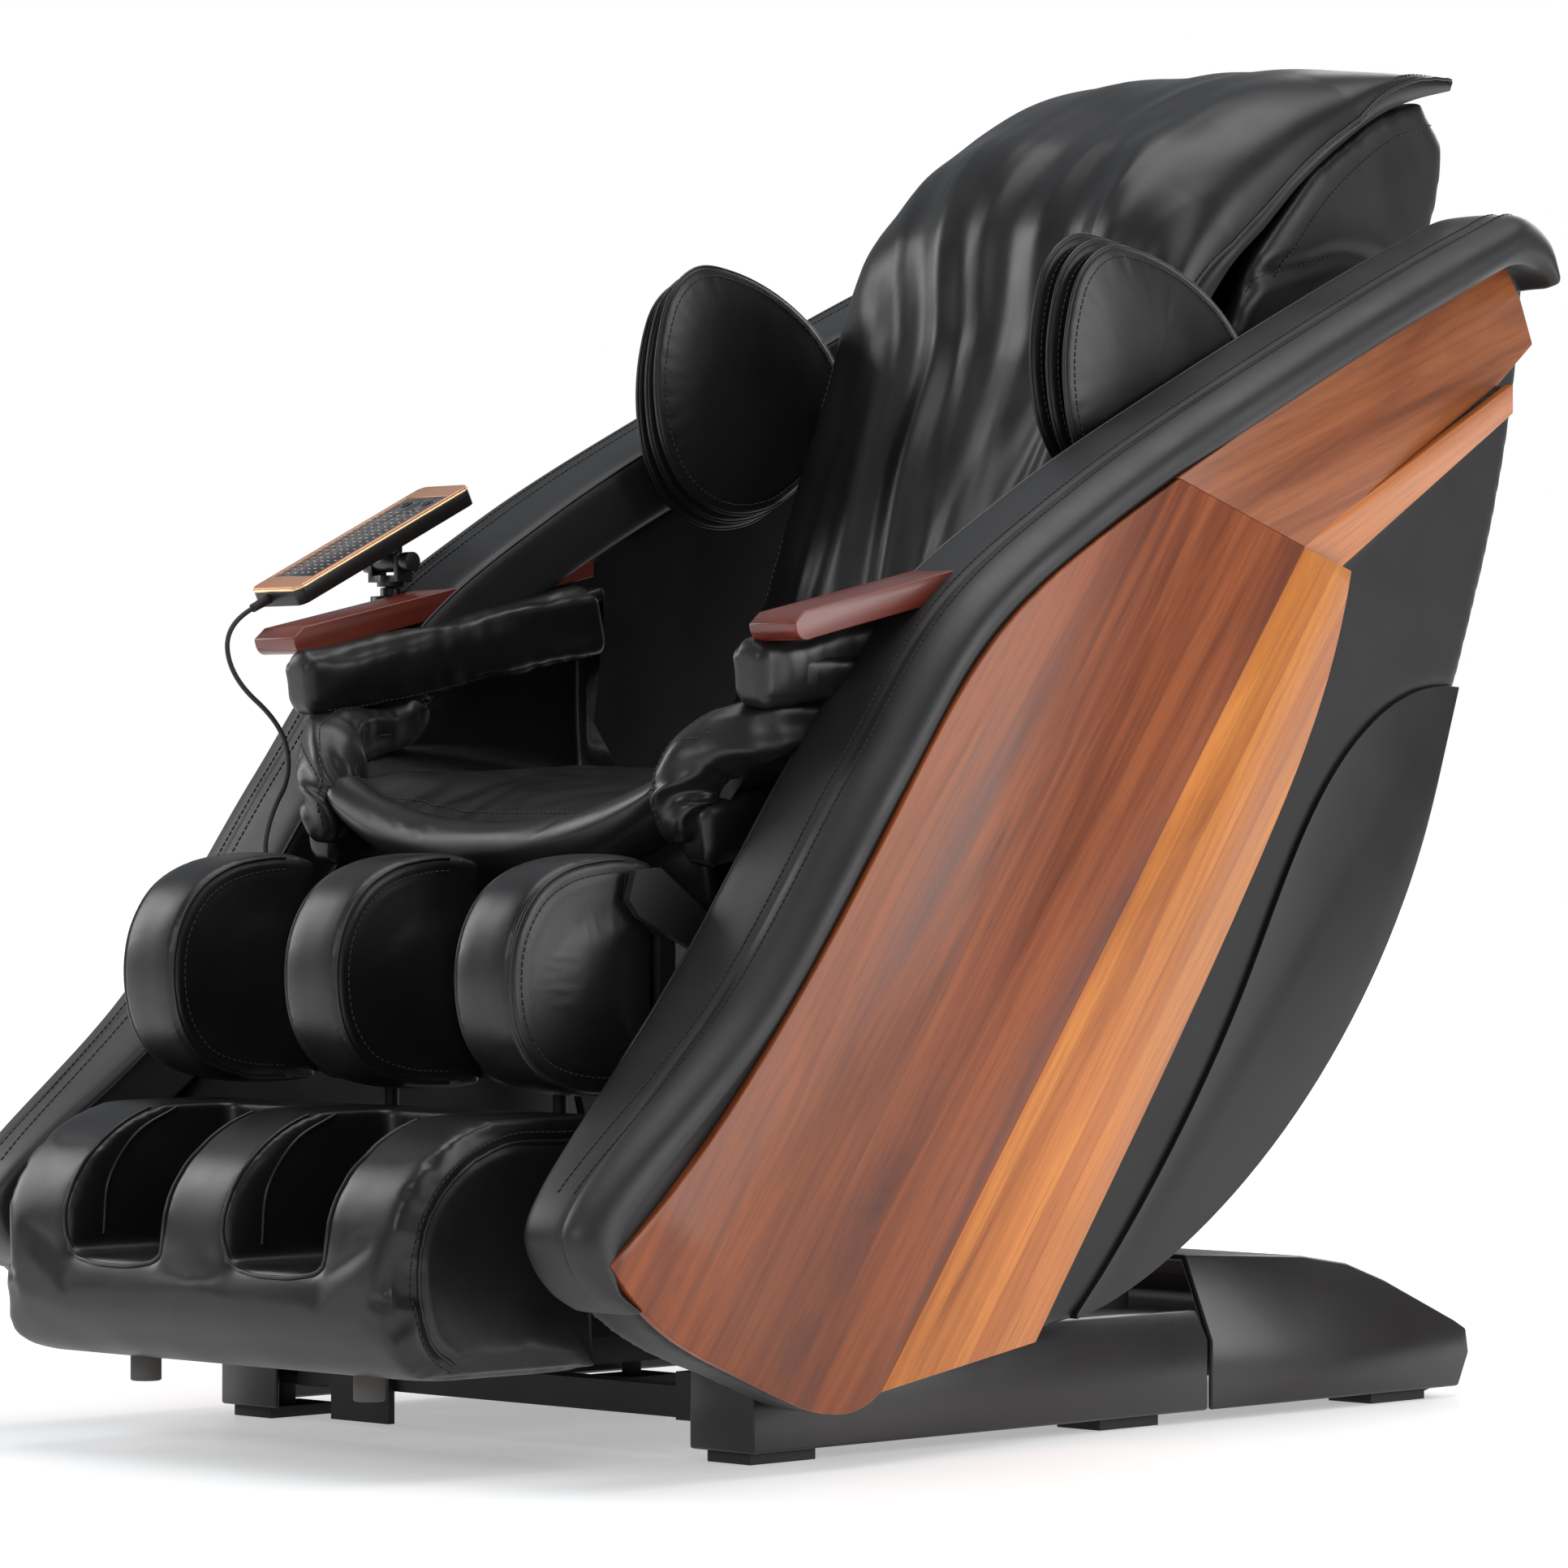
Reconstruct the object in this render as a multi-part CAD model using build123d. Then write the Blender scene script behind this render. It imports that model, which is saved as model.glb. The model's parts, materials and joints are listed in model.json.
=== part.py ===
from build123d import *
import math
import os

# Massage chair.  Millimetres, +Z up, the chair faces -Y, the sitter's left is +X.
# The origin is on the floor, in the middle of the chair's footprint.
# Outlines of the side parts are drawn in the YZ plane as (y, z) pairs.

# ---- driving dimensions ----------------------------------------------------------------
HALF_WIDTH = 403.0          # outer face of the wood side panels
HALF_LENGTH = 680.0         # front of the foot unit and back of the head section

SHELL_IN = 306.0            # inner face of the side shell's core
SHELL_MID = 352.0           # outer face of the side shell's core
BOLSTER_IN = 281.0          # inner face of the padded front band
WOOD_T = 9.0                # wood panel thickness
BASE_OUT = 332.0            # outer face of the floor base

TILT_Y, TILT_Z = 20.0, 230.0        # seat tilt pivot
BACK_Y, BACK_Z = 60.0, 470.0        # backrest hinge
LEG_Y, LEG_Z = -410.0, 465.0        # leg rest hinge
BACK_LEAN = 22.8                    # lean of the backrest at rest, degrees from upright

CALF_PITCH = 209.0          # spacing of the calf lobes
LOBE_HALF = 36.0            # half the width of a calf lobe
CALF_FRONT = -555.0
CALF_REAR = -386.0
CALF_TOP = 498.0
CALF_BOTTOM = 300.0
FOOT_HALF = 245.0
FOOT_REAR = -455.0
FOOT_BOTTOM = 80.0
FOOT_TOP = 287.0
WELL_IN, WELL_OUT = 42.0, 160.0     # a foot well's inner and outer walls
SOLE_Z = 165.0
ROD_X, ROD_Y = 105.0, -366.0        # foot unit guide rods
ROD_R = 6.0

REMOTE_X, REMOTE_Y, REMOTE_Z = -360.0, -176.0, 783.0
REMOTE_TILT = 25.5
REMOTE_SIZE = (66.0, 232.0, 17.0)

FIT = 0.05                  # radial running clearance of the pivots
PIN_R = 10.0                # main pivot studs
SMALL_PIN_R = 6.0           # actuator pins

nodes = {}


# ---- helpers ---------------------------------------------------------------------------
def keep(name, solid):
    nodes[name] = solid


def block(x0, x1, y0, y1, z0, z1):
    """A box between two corners."""
    size = (x1 - x0, y1 - y0, z1 - z0)
    return Pos((x0 + x1) / 2, (y0 + y1) / 2, (z0 + z1) / 2) * Box(*size)


def side_plate(lines, x0, x1):
    """Extrude a closed YZ outline, given as curves or (y, z) points, from x0 to x1."""
    if isinstance(lines[0], tuple):
        face = make_face(Polyline(*lines, close=True).edges())
    else:
        face = make_face(sum((list(line.edges()) for line in lines), []))
    return extrude(Plane.YZ.offset(x0) * face, amount=x1 - x0, dir=(1, 0, 0))


def cross_bar(points, y0, y1):
    """Extrude a closed XZ outline, given as (x, z) points, from y0 to y1."""
    corners = [(x, y0, z) for x, z in points]
    return extrude(make_face(Polyline(*corners, close=True).edges()), amount=y1 - y0, dir=(0, 1, 0))


def x_rod(radius, x0, x1, y, z):
    """A round bar along X."""
    return Pos((x0 + x1) / 2, y, z) * Rot(0, 90, 0) * Cylinder(radius, x1 - x0)


def rod_between(radius, start, end):
    """A round bar between two points."""
    axis = Vector(*end) - Vector(*start)
    return extrude(Plane(start, z_dir=axis) * Circle(radius), amount=axis.length)


def both_sides(name, solid):
    """Keep a left part and its mirror image."""
    keep(name + "_left", solid)
    keep(name + "_right", mirror(solid, about=Plane.YZ))


def pair(solid):
    """A solid and its mirror image in one node."""
    return Part() + [solid, mirror(solid, about=Plane.YZ)]


def back_part(solid):
    """Lean a part that is drawn upright, with its origin on the backrest hinge."""
    return Location((0, BACK_Y, BACK_Z), (-BACK_LEAN, 0, 0)) * solid


# ---- outlines of the side shell (y, z) -------------------------------------------------
# The wood's front edge: a steep lower run, a bend beside the armrest, a flatter upper run.
WOOD_FRONT = [(-593, 178), (-403, 358), (-256, 547), (-150, 675), (0, 774), (230, 889), (540, 1028)]
# The band's outer edge runs BAND in front of the wood's edge.
BAND_FRONT = [(-618, 202), (-427, 383), (-283, 569), (-173, 701), (-17, 804), (215, 921), (526, 1060)]
BAND_BACK = [(-572, 158), (-382, 337), (-232, 527), (-131, 651), (14, 745), (243, 858), (552, 996)]
SHELL_FOOT = [(-60, 92), (-300, 58), (-450, 84), (-548, 128), (-618, 202)]
SHELL_BACK = [(618, 1012), (597, 880), (557, 746), (520, 650), (470, 514), (378, 362), (226, 214),
              (120, 147), (40, 112), (-60, 92)]
FOLD_TOP, FOLD_LOW = (245, 763), (-289, 60)        # crease between main panel and rear strip
CAP_SEAM = (78, 817)                               # front end of the cap's lower seam
CAP_BACK, CAP_LOW = (604, 960), (564, 895)
STRIP_TOP = (328, 745)
PIPING = [(516, 646), (451, 639), (360, 584), (223, 383), (91, 201), (2, 106)]
BEVEL_BACK = (546, 920)
STRIP_SLOPE, BEVEL_SLOPE, CAP_SLOPE = 12, 25, 6     # how far the pieces lean inwards, degrees
BEVEL_STEP = 8.0

PAD_YS = (-320, 105, 470)
WHEEL_Y, WHEEL_Z, WHEEL_R = 530.0, 30.0, 26.0
TILT_ROD_X = 100.0
TILT_PIVOT = (-250.0, 330.0)
TILT_AIM = math.radians(26.3)
BACK_ROD_X = -100.0
BACK_LEVER = (BACK_Y + 60 * math.cos(math.radians(BACK_LEAN)) - 80 * math.sin(math.radians(BACK_LEAN)),
              BACK_Z - 60 * math.sin(math.radians(BACK_LEAN)) - 80 * math.cos(math.radians(BACK_LEAN)))
LEG_LEVER = (LEG_Y + 55, LEG_Z - 60)
MASSAGE_Z = 190.0
ROLLER_Y = 76.0
AIRBAG_X, AIRBAG_Y = 258.0, 88.0
STAND_Y = -140.0
KEY_X, KEY_Y, KEY_R = 14.0, 76.0, 6.0
OUTRIGGER_Y = -215.0
CORD_R = 2.25
CORD_ROUTE = [(-372, -295, 714.5), (-372, -327.5, 699), (-360, -330, 652), (-325, -300, 610),
              (-303, -308, 566), (-281, -352, 530), (-266, -374, 490), (-266, -342, 440),
              (-272, -292, 420), (-272, -252, 420)]


def tilted_slab(start, end, x_start, slope, thickness, side):
    """A thin slab that leans inwards from the YZ line start-end by the angle slope."""
    along = Vector(0, end[0] - start[0], end[1] - start[1]).normalized()
    across = along.cross(Vector(1, 0, 0)) * side
    normal = Vector(1, 0, 0) * math.cos(math.radians(slope)) + across * math.sin(math.radians(slope))
    place = Plane(origin=(x_start, start[0], start[1]), x_dir=along, z_dir=normal)
    return place * Pos(0, 0, -thickness / 2) * Box(3000, 3000, thickness)


def wood_outline(kind):
    """The YZ outline of one wood piece as a tall prism along X."""
    if kind == "panel":
        seam = [(-700, 0), (-700, 1063), CAP_SEAM, FOLD_TOP, FOLD_LOW, (-289, 0)]
        front = Spline(*WOOD_FRONT)
        foot = Spline(FOLD_LOW, (-300, 53), (-440, 78), (-533, 122), (-593, 178))
        far = Polyline((540, 1028), (700, 900), (300, 100), FOLD_LOW)
        return side_plate([front, far, foot], SHELL_MID, 460) & side_plate(seam, SHELL_MID, 460)
    if kind == "strip":
        back = Spline(STRIP_TOP, (303, 642), (222, 493), (58, 255), (-65, 86))
        ends = [Polyline(FOLD_LOW, FOLD_TOP, STRIP_TOP), Line((-65, 86), FOLD_LOW)]
        return side_plate([ends[0], back, ends[1]], SHELL_MID, 460)
    if kind == "bevel":
        return side_plate([FOLD_TOP, BEVEL_BACK, CAP_LOW, STRIP_TOP], SHELL_MID, 460)
    rim = Spline(CAP_SEAM, (230, 889), (540, 1028))
    rest = Polyline((540, 1028), (570, 1034), (591, 1000), CAP_BACK, BEVEL_BACK, FOLD_TOP, CAP_SEAM)
    return side_plate([rim, rest], SHELL_MID, 460)


def wood_slab(kind, depth, thickness):
    """The layer of one wood piece, or of what lies depth below its face."""
    if kind == "panel":
        return block(HALF_WIDTH - depth - thickness, HALF_WIDTH - depth, -700, 700, 0, 1200)
    slope = {"strip": STRIP_SLOPE, "bevel": BEVEL_SLOPE, "cap": CAP_SLOPE}[kind]
    face = HALF_WIDTH - depth / math.cos(math.radians(slope))
    if kind == "strip":
        return tilted_slab(FOLD_TOP, FOLD_LOW, face, STRIP_SLOPE, thickness, -1)
    if kind == "bevel":
        return tilted_slab(FOLD_TOP, BEVEL_BACK, face - BEVEL_STEP, BEVEL_SLOPE, thickness, 1)
    return tilted_slab(CAP_SEAM, FOLD_TOP, face, CAP_SLOPE, thickness, -1)


def shell_outline():
    return [Spline(*BAND_FRONT), Spline((526, 1060), (578, 1078), (610, 1058), (618, 1012)),
            Spline(*SHELL_BACK), Spline(*SHELL_FOOT)]


def band_zone():
    """Everything in front of and above the back edge of the padded band."""
    rest = Polyline((552, 996), (700, 1300), (-900, 1300), (-900, -50), (-572, 158))
    return side_plate([Spline(*BAND_BACK), rest], 200, 460)


def band_room(x_start):
    """The padded band's zone, from x_start outwards."""
    return side_plate(shell_outline(), x_start, HALF_WIDTH - 2) & band_zone()


def side_shell():
    outline = shell_outline()
    cover_zone = side_plate([Spline(*PIPING), Polyline((2, 106), (0, 0), (800, 0), (800, 646),
                             (516, 646))], 346, 460)
    over_base = side_plate([(-700, 0), (-700, 165), (0, 165), (420, 285), (600, 285), (600, 0)],
                           200, BASE_OUT + 6)
    wood = {kind: wood_outline(kind) for kind in ("panel", "strip", "bevel", "cap")}

    bolster = band_room(BOLSTER_IN)
    bolster = bolster - over_base
    for kind in wood:
        bolster = bolster - (wood[kind] & block(HALF_WIDTH - 48, 460, -700, 700, 0, 1200))
    bolster = bolster - armrest_solid(0.4)
    keep("shell_bolster_left", bolster)
    keep("shell_bolster_right", mirror(bolster, about=Plane.YZ) - stand_pocket())

    core = side_plate(outline, SHELL_IN, SHELL_MID) - over_base
    for kind in wood:
        core = core + (wood[kind] & wood_slab(kind, WOOD_T + 0.2, 60) & block(SHELL_MID, 460, -700, 700, 0, 1200))
    core = core - band_zone() - cover_zone - armrest_solid(0.4)
    both_sides("shell_core", core)

    cover = side_plate(outline, 346.5, SHELL_MID + 3) & cover_zone
    both_sides("shell_rear_cover", cover)
    both_sides("wood_panel", wood["panel"] & wood_slab("panel", 0, WOOD_T))
    both_sides("wood_cap", wood["cap"] & wood_slab("cap", 0, WOOD_T))
    strip = (wood["strip"] & wood_slab("strip", 0, WOOD_T)) + (wood["bevel"] & wood_slab("bevel", 0, WOOD_T))
    both_sides("wood_strip", strip)


def stand_pocket():
    """Room in the right band for the foot of the remote's stand."""
    return Pos(REMOTE_X, STAND_Y, 720) * Cylinder(18.3, 60)


def armrest_solid(gap):
    """The left armrest, or the room that the shell leaves around it."""
    low, high = 674 - gap, 696 + gap
    outline = [Spline((-322 - gap, high - 10), (-316 - gap, low), (-300, low)), Line((-300, low), (44 + gap, low + 76)),
               Line((44 + gap, low + 76), (44 + gap, high + 76)), Line((44 + gap, high + 76), (-310, high)),
               Line((-310, high), (-322 - gap, high - 10))]
    return side_plate(outline, BOLSTER_IN + 3 - gap, BOLSTER_IN + 57 + gap)


# ---- floor base ------------------------------------------------------------------------
def base():
    rails = pair(block(222, 252, -345, 524, 30, 70))
    bars = Part() + [block(-222, 222, y - 15, y + 15, 32, 58) for y in (-330, 105, 500)]
    feet_arms = Part() + [pair(block(252, 318, y - 20, y + 20, 30, 38)) for y in PAD_YS]
    wheel_arms = pair(block(262, 276, 500, 546, 16, 50) + block(252, 262, 500, 524, 32, 50)
                      + x_rod(6, 276, 309, WHEEL_Y, WHEEL_Z) + x_rod(10, 305, 309, WHEEL_Y, WHEEL_Z))
    skid = block(-200, -125, -352, -345, 4, 58)
    keep("base_frame", rails + bars + feet_arms + wheel_arms + skid)

    pad = Part() + [block(272, 322, y - 38, y + 38, 0, 10) + (Pos(297, y, 20) * Cylinder(9, 20))
                    for y in PAD_YS]
    keep("foot_pads", pair(pad))

    outer = cross_bar([(258, 10), (BASE_OUT, 10), (BASE_OUT, 72), (318, 98), (258, 98)], -365, 198)
    inner = cross_bar([(200, 0), (BASE_OUT - 5, 0), (BASE_OUT - 5, 69), (315, 92), (200, 92)], -360, 300)
    both_sides("base_side_cover", outer - inner)

    keep("base_rear_cover", rear_cover_box(0, 202) - rear_cover_box(5, 190) - wheel_slots()
         - block(189.5, 240.5, 455, 600, 75.5, 102.5))


def rear_cover_box(inset, front):
    """The rear cover's outer form, or its hollow when inset is its wall."""
    low = 10 if inset == 0 else -5
    i = inset
    top = [(front, 144 - i), (247, 142 - i), (358, 136 - i), (415, 127 - i), (460, 110 - i),
           (516 - i, 82 - i), (556 - i, 62 - i), (560 - i, 40), (545 - i, low), (front, low)]
    half = BASE_OUT - inset
    section = [(-half, low), (half, low), (half, 70 - i), (half - 34, 150 - i),
               (34 - half, 150 - i), (-half, 70 - i)]
    return side_plate(top, -400, 400) & cross_bar(section, 100, 600)


def wheel_slots():
    return pair(block(279, 312, WHEEL_Y - 32, 600, 0, 64))


def wheels():
    """Two transport wheels on the base frame's stub axles, coaxial, 4 mm clear of the floor."""
    wheel = x_rod(WHEEL_R, 281, 303, WHEEL_Y, WHEEL_Z) - x_rod(6 + FIT, 270, 310, WHEEL_Y, WHEEL_Z)
    keep("transport_wheels", pair(wheel))


def power_entry():
    """Mains socket and rocker switch in the rear cover."""
    body = block(190, 240, 460, 522, 76, 102)
    keep("power_inlet", body - block(196, 221, 500, 530, 80, 98) - block(224, 238, 500, 530, 79, 99))
    keep("power_switch", block(225, 237, 506, 525, 81.5, 96.5))


# ---- sliding carriage ------------------------------------------------------------------
def carriage():
    sides = pair(block(224, 250, -300, 185, 86, 116))
    glides = pair(Part() + [block(224, 250, y - 30, y + 30, 70.4, 86) for y in (-250, 140)])
    bars = Part() + [block(-224, 224, y0, y1, 90, 114) for y0, y1 in ((-300, -262), (60, 84), (150, 185))]
    ear = side_plate([(-45, 112), (85, 112), (48, 250), (-8, 250)], 212, 224)
    stud = x_rod(PIN_R, 224, 245, TILT_Y, TILT_Z)
    mount = block(TILT_ROD_X - 20, TILT_ROD_X + 20, -352, -300, 92, 112)
    keep("carriage_frame", sides + glides + bars + pair(ear + stud) + mount)
    keep("control_box", block(-190, -40, -200, 30, 92, 150))
    keep("air_pump", block(10, 60, -200, -40, 92, 165) + Pos(35, -10, 130) * Cylinder(22, 76))


def tilt_actuator():
    """A linear actuator under the seat's front; its top pivot has clearance all round."""
    start = Vector(TILT_ROD_X, *TILT_PIVOT)
    axis = Vector(0, -math.sin(TILT_AIM), -math.cos(TILT_AIM))
    foot = start + axis * 208
    neck = start + axis * 86
    sleeve = rod_between(20, neck, foot) - rod_between(8 + FIT, neck + axis * -5, start + axis * 200)
    keep("tilt_actuator", sleeve - block(50, 150, -400, -250, 60, 112.3))
    rod = rod_between(8, start + axis * 30, start + axis * 160)
    fork = fork_end(TILT_ROD_X, *TILT_PIVOT, 17, 17)
    keep("tilt_actuator_rod", rod + fork)


def fork_end(x, y, z, slot_y, slot_z):
    """Two cheeks joined by a yoke below, with a slot for a pin along X."""
    cheeks = block(x - 18, x + 18, y - slot_y / 2 - 6, y + slot_y / 2 + 6, z - slot_z / 2 - 26, z + slot_z / 2 + 6)
    gap = block(x - 8, x + 8, y - 60, y + 60, z - slot_z / 2 - 16, z + 60)
    return cheeks - gap - block(x - 30, x + 30, y - slot_y / 2, y + slot_y / 2, z - slot_z / 2, z + slot_z / 2)


# ---- seat ------------------------------------------------------------------------------
def seat():
    rails = pair(block(232, 248, -330, 92, 405, 440))
    bars = Part() + [block(-232, 232, y0, y1, 428, 440) for y0, y1 in ((-330, -300), (-275, -225), (-60, -30))]
    pan = block(-214, 214, -330, 28, 440, 444)
    lug = side_plate([(-60, 406), (92, 406), (42, 212), (-2, 212)], 233, 243)
    lug = lug - x_rod(PIN_R + FIT, 225, 250, TILT_Y, TILT_Z)
    back_ear = side_plate([(30, 438), (92, 438), (84, 492), (36, 492)], 232, 242)
    back_ear = back_ear - x_rod(PIN_R + FIT, 225, 250, BACK_Y, BACK_Z)
    leg_ear = side_plate([(-200, 406), (-200, 436), (-330, 440), (-396, 486), (-424, 484), (-432, 460),
                          (-420, 446), (-330, 406)], 249.5, 257)
    leg_ear = leg_ear + block(247, 250, -330, -200, 408, 432) - x_rod(8 + FIT, 240, 262, LEG_Y, LEG_Z)
    outriggers = pair(Part() + [block(247, SHELL_IN - 0.2, y - 22, y + 22, 408, 432) for y in (OUTRIGGER_Y, 45)])
    tilt_lug = block(TILT_ROD_X - 6, TILT_ROD_X + 6, -268, -232, 314, 428)
    tilt_pin = x_rod(SMALL_PIN_R, TILT_ROD_X - 22, TILT_ROD_X + 22, *TILT_PIVOT)
    hangers = (block(BACK_ROD_X - 12, BACK_ROD_X + 12, -262, -236, 399, 428)
               + block(-14, 14, -226, -206, 424, 440))
    keep("seat_frame", rails + bars + pan + pair(lug + back_ear + leg_ear) + outriggers
         + tilt_lug + tilt_pin + hangers)

    cushion = side_plate([Spline((-330, 446), (-364, 468), (-372, 504), (-350, 536)),
                          Spline((-350, 536), (-200, 552), (-60, 564)),
                          Polyline((-60, 564), (52, 566), (52, 446), (-330, 446))], -213, 213)
    keep("seat_cushion", cushion)
    side_pad = side_plate([(-340, 502), (-340, 556), (-310, 566), (50, 566), (50, 502)], 217, 250)
    keep("seat_side_pads", pair(side_pad))


def arms():
    both_sides("armrest", armrest_solid(0))
    top_cuff = side_plate([(-330, 612), (-330, 666), (40, 742), (40, 676)], 256, 305)
    floor_pad = side_plate([(-345, 512), (-345, 556), (40, 556), (40, 512)], 256, 305)
    side_wall = side_plate([(-345, 556), (-330, 612), (40, 676), (40, 556)], 296, 305)
    in_front = block(BOLSTER_IN - 0.5, 400, -400, -130, 500, 700)
    both_sides("arm_sleeve", top_cuff + floor_pad + side_wall - in_front - band_room(BOLSTER_IN - 0.5))


def back_actuator():
    """A linear actuator that pulls the backrest's lever; the lever pin runs in a slot."""
    y, z = BACK_LEVER
    sleeve = rod_between(24, (BACK_ROD_X, -262, z), (BACK_ROD_X, -62, z))
    bore = rod_between(9 + FIT, (BACK_ROD_X, -250, z), (BACK_ROD_X, 0, z))
    keep("recline_actuator", sleeve - bore - block(BACK_ROD_X - 40, BACK_ROD_X + 40, -300, 0, z + 25.8, 500))
    rod = rod_between(9, (BACK_ROD_X, -160, z), (BACK_ROD_X, y - 26, z))
    cheeks = block(BACK_ROD_X - 18, BACK_ROD_X + 18, y - 30, y + 13, z - 16, z + 22)
    gap = block(BACK_ROD_X - 8, BACK_ROD_X + 8, y - 20, y + 40, z - 40, z + 40)
    slot = block(BACK_ROD_X - 30, BACK_ROD_X + 30, y - 8, y + 8, z - 11, z + 16)
    keep("recline_actuator_rod", rod + (cheeks - gap - slot))


def leg_actuator():
    """A linear actuator that pushes the leg rest's lever; the lever pin runs in a slot."""
    y, z = LEG_LEVER
    sleeve = rod_between(17, (0, -300, z), (0, -172, z))
    keep("leg_actuator", sleeve - rod_between(7 + FIT, (0, -310, z), (0, -180, z)))
    rod = rod_between(7, (0, y + 20, z), (0, -184, z))
    plate = block(-7, 7, y - 15, y + 24, z - 36, z + 17)
    slot = block(-20, 20, y - 9, y + 9.5, z - 30, z + 11)
    keep("leg_actuator_rod", rod + (plate - slot))


# ---- backrest, drawn upright from its hinge: y is depth behind the front, z is height ---
def backrest():
    stile = side_plate([(52, 0), (92, 0), (92, 470), (200, 610), (200, 780), (162, 780), (162, 640),
                        (52, 500)], 170, 185)
    bars = Part() + [block(-170, 170, y0, y1, z0, z1) for y0, y1, z0, z1 in
                     ((170, 182, 40, 60), (170, 182, 760, 780))]
    foot_bar = block(-216, 216, 52, 82, 0, 24)
    hinge_plate = side_plate([(-14, -14), (-14, 14), (60, 34), (60, -4)], 216, 224)
    stud = x_rod(PIN_R, 224, 245, 0, 0)
    post = block(170, 185, 92, 182, 40, 60)
    track = block(150, 168, 152, 170, 40, 780)
    airbag_arms = Part() + [block(184, 266, 84, 96, z, z + 14) for z in (384, 482)]
    airbag_pin = Pos(AIRBAG_X, AIRBAG_Y, 440) * Cylinder(4, 112)
    lever = side_plate([(52, 24), (82, 24), (75, -92), (45, -92)], BACK_ROD_X - 6, BACK_ROD_X + 6)
    lever_pin = x_rod(SMALL_PIN_R, BACK_ROD_X - 22, BACK_ROD_X + 22, 60, -80)
    sides = pair(stile + hinge_plate + stud + post + track + airbag_arms + airbag_pin)
    keep("back_frame", back_part(sides + bars + foot_bar + lever + lever_pin))

    front = [(0, 62), (-4, 300), (0, 538), (-22, 650), (42, 782), (160, 893), (281, 930)]
    pad = side_plate([Spline(*front), Polyline((281, 930), (203, 862), (139, 774), (95, 660), (92, 590),
                      (44, 540), (44, 62), (0, 62))], -208, 208)
    roller_room = side_plate([(44, 520), (25, 630), (26, 670), (52, 735), (95, 790), (300, 790),
                              (300, 520)], -150, 150)
    keep("back_pad", back_part(pad - roller_room))

    rear = [(96, 590), (100, 658), (144, 770), (206, 857), (258, 900), (302, 878), (317, 830)]
    outer = side_plate([Polyline(*rear), Spline((317, 830), (316, 600), (266, 250), (205, 60)),
                        Polyline((205, 60), (96, 60), (96, 590))], -212, 212)
    hollow = side_plate([(80, 50), (80, 770), (138, 850), (286, 850), (304, 800), (304, 600),
                         (258, 250), (198, 50)], -186, 186)
    slots = pair(Part() + [block(180, 225, 80, 97, z - 1, z + 15) for z in (384, 482)])
    keep("back_cover", back_part(outer - hollow - slots))

    leaf = [(66, 400), (-40, 378), (-132, 400), (-158, 450), (-120, 545), (-40, 584), (40, 574), (66, 490)]
    plate = block(227, 274, 66, 79, 400, 480)
    knuckle = Pos(AIRBAG_X, AIRBAG_Y, 440) * (Cylinder(8, 78) - Cylinder(4 + FIT, 90))
    stack = plate + knuckle - Pos(AIRBAG_X, AIRBAG_Y, 440) * Cylinder(4 + FIT, 90)
    for x in (227, 243, 259):
        stack = stack + (side_plate([Spline(*leaf), Line(leaf[-1], leaf[0])], x, x + 15) - plate)
    both_sides("shoulder_airbag", back_part(stack))


def massage():
    body = block(-140, 140, 118, 150, MASSAGE_Z - 60, MASSAGE_Z + 60)
    shoes = pair(block(140, 166, 170.4, 176, MASSAGE_Z - 50, MASSAGE_Z + 50)
                 + block(140, 149.6, 118, 176, MASSAGE_Z - 50, MASSAGE_Z + 50))
    motor = block(-60, 60, 150, 165, MASSAGE_Z - 40, MASSAGE_Z + 40)
    shaft = x_rod(8, -120, 120, 100, MASSAGE_Z)
    eyes = pair(block(120, 130, 88, 118, MASSAGE_Z - 12, MASSAGE_Z + 12))
    keep("massage_carriage", back_part(body + shoes + motor + eyes + shaft))

    arm = side_plate([(88, -14), (86, -80), (70, -90), (66, -70), (72, 0), (66, 70), (70, 90), (86, 80),
                      (88, 14), (113, 12), (113, -12)], 52, 64)
    arm = Pos(0, 0, MASSAGE_Z) * arm - x_rod(8 + FIT, 40, 80, 100, MASSAGE_Z)
    for z in (-76, 76):
        arm = arm + x_rod(5, 64, 98, ROLLER_Y, MASSAGE_Z + z)
    keep("massage_arms", back_part(pair(arm)))
    for name, z in (("upper_rollers", 76), ("lower_rollers", -76)):
        roller = x_rod(24, 66, 96, ROLLER_Y, MASSAGE_Z + z) - x_rod(5 + FIT, 60, 100, ROLLER_Y, MASSAGE_Z + z)
        keep(name, back_part(pair(roller)))


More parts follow.
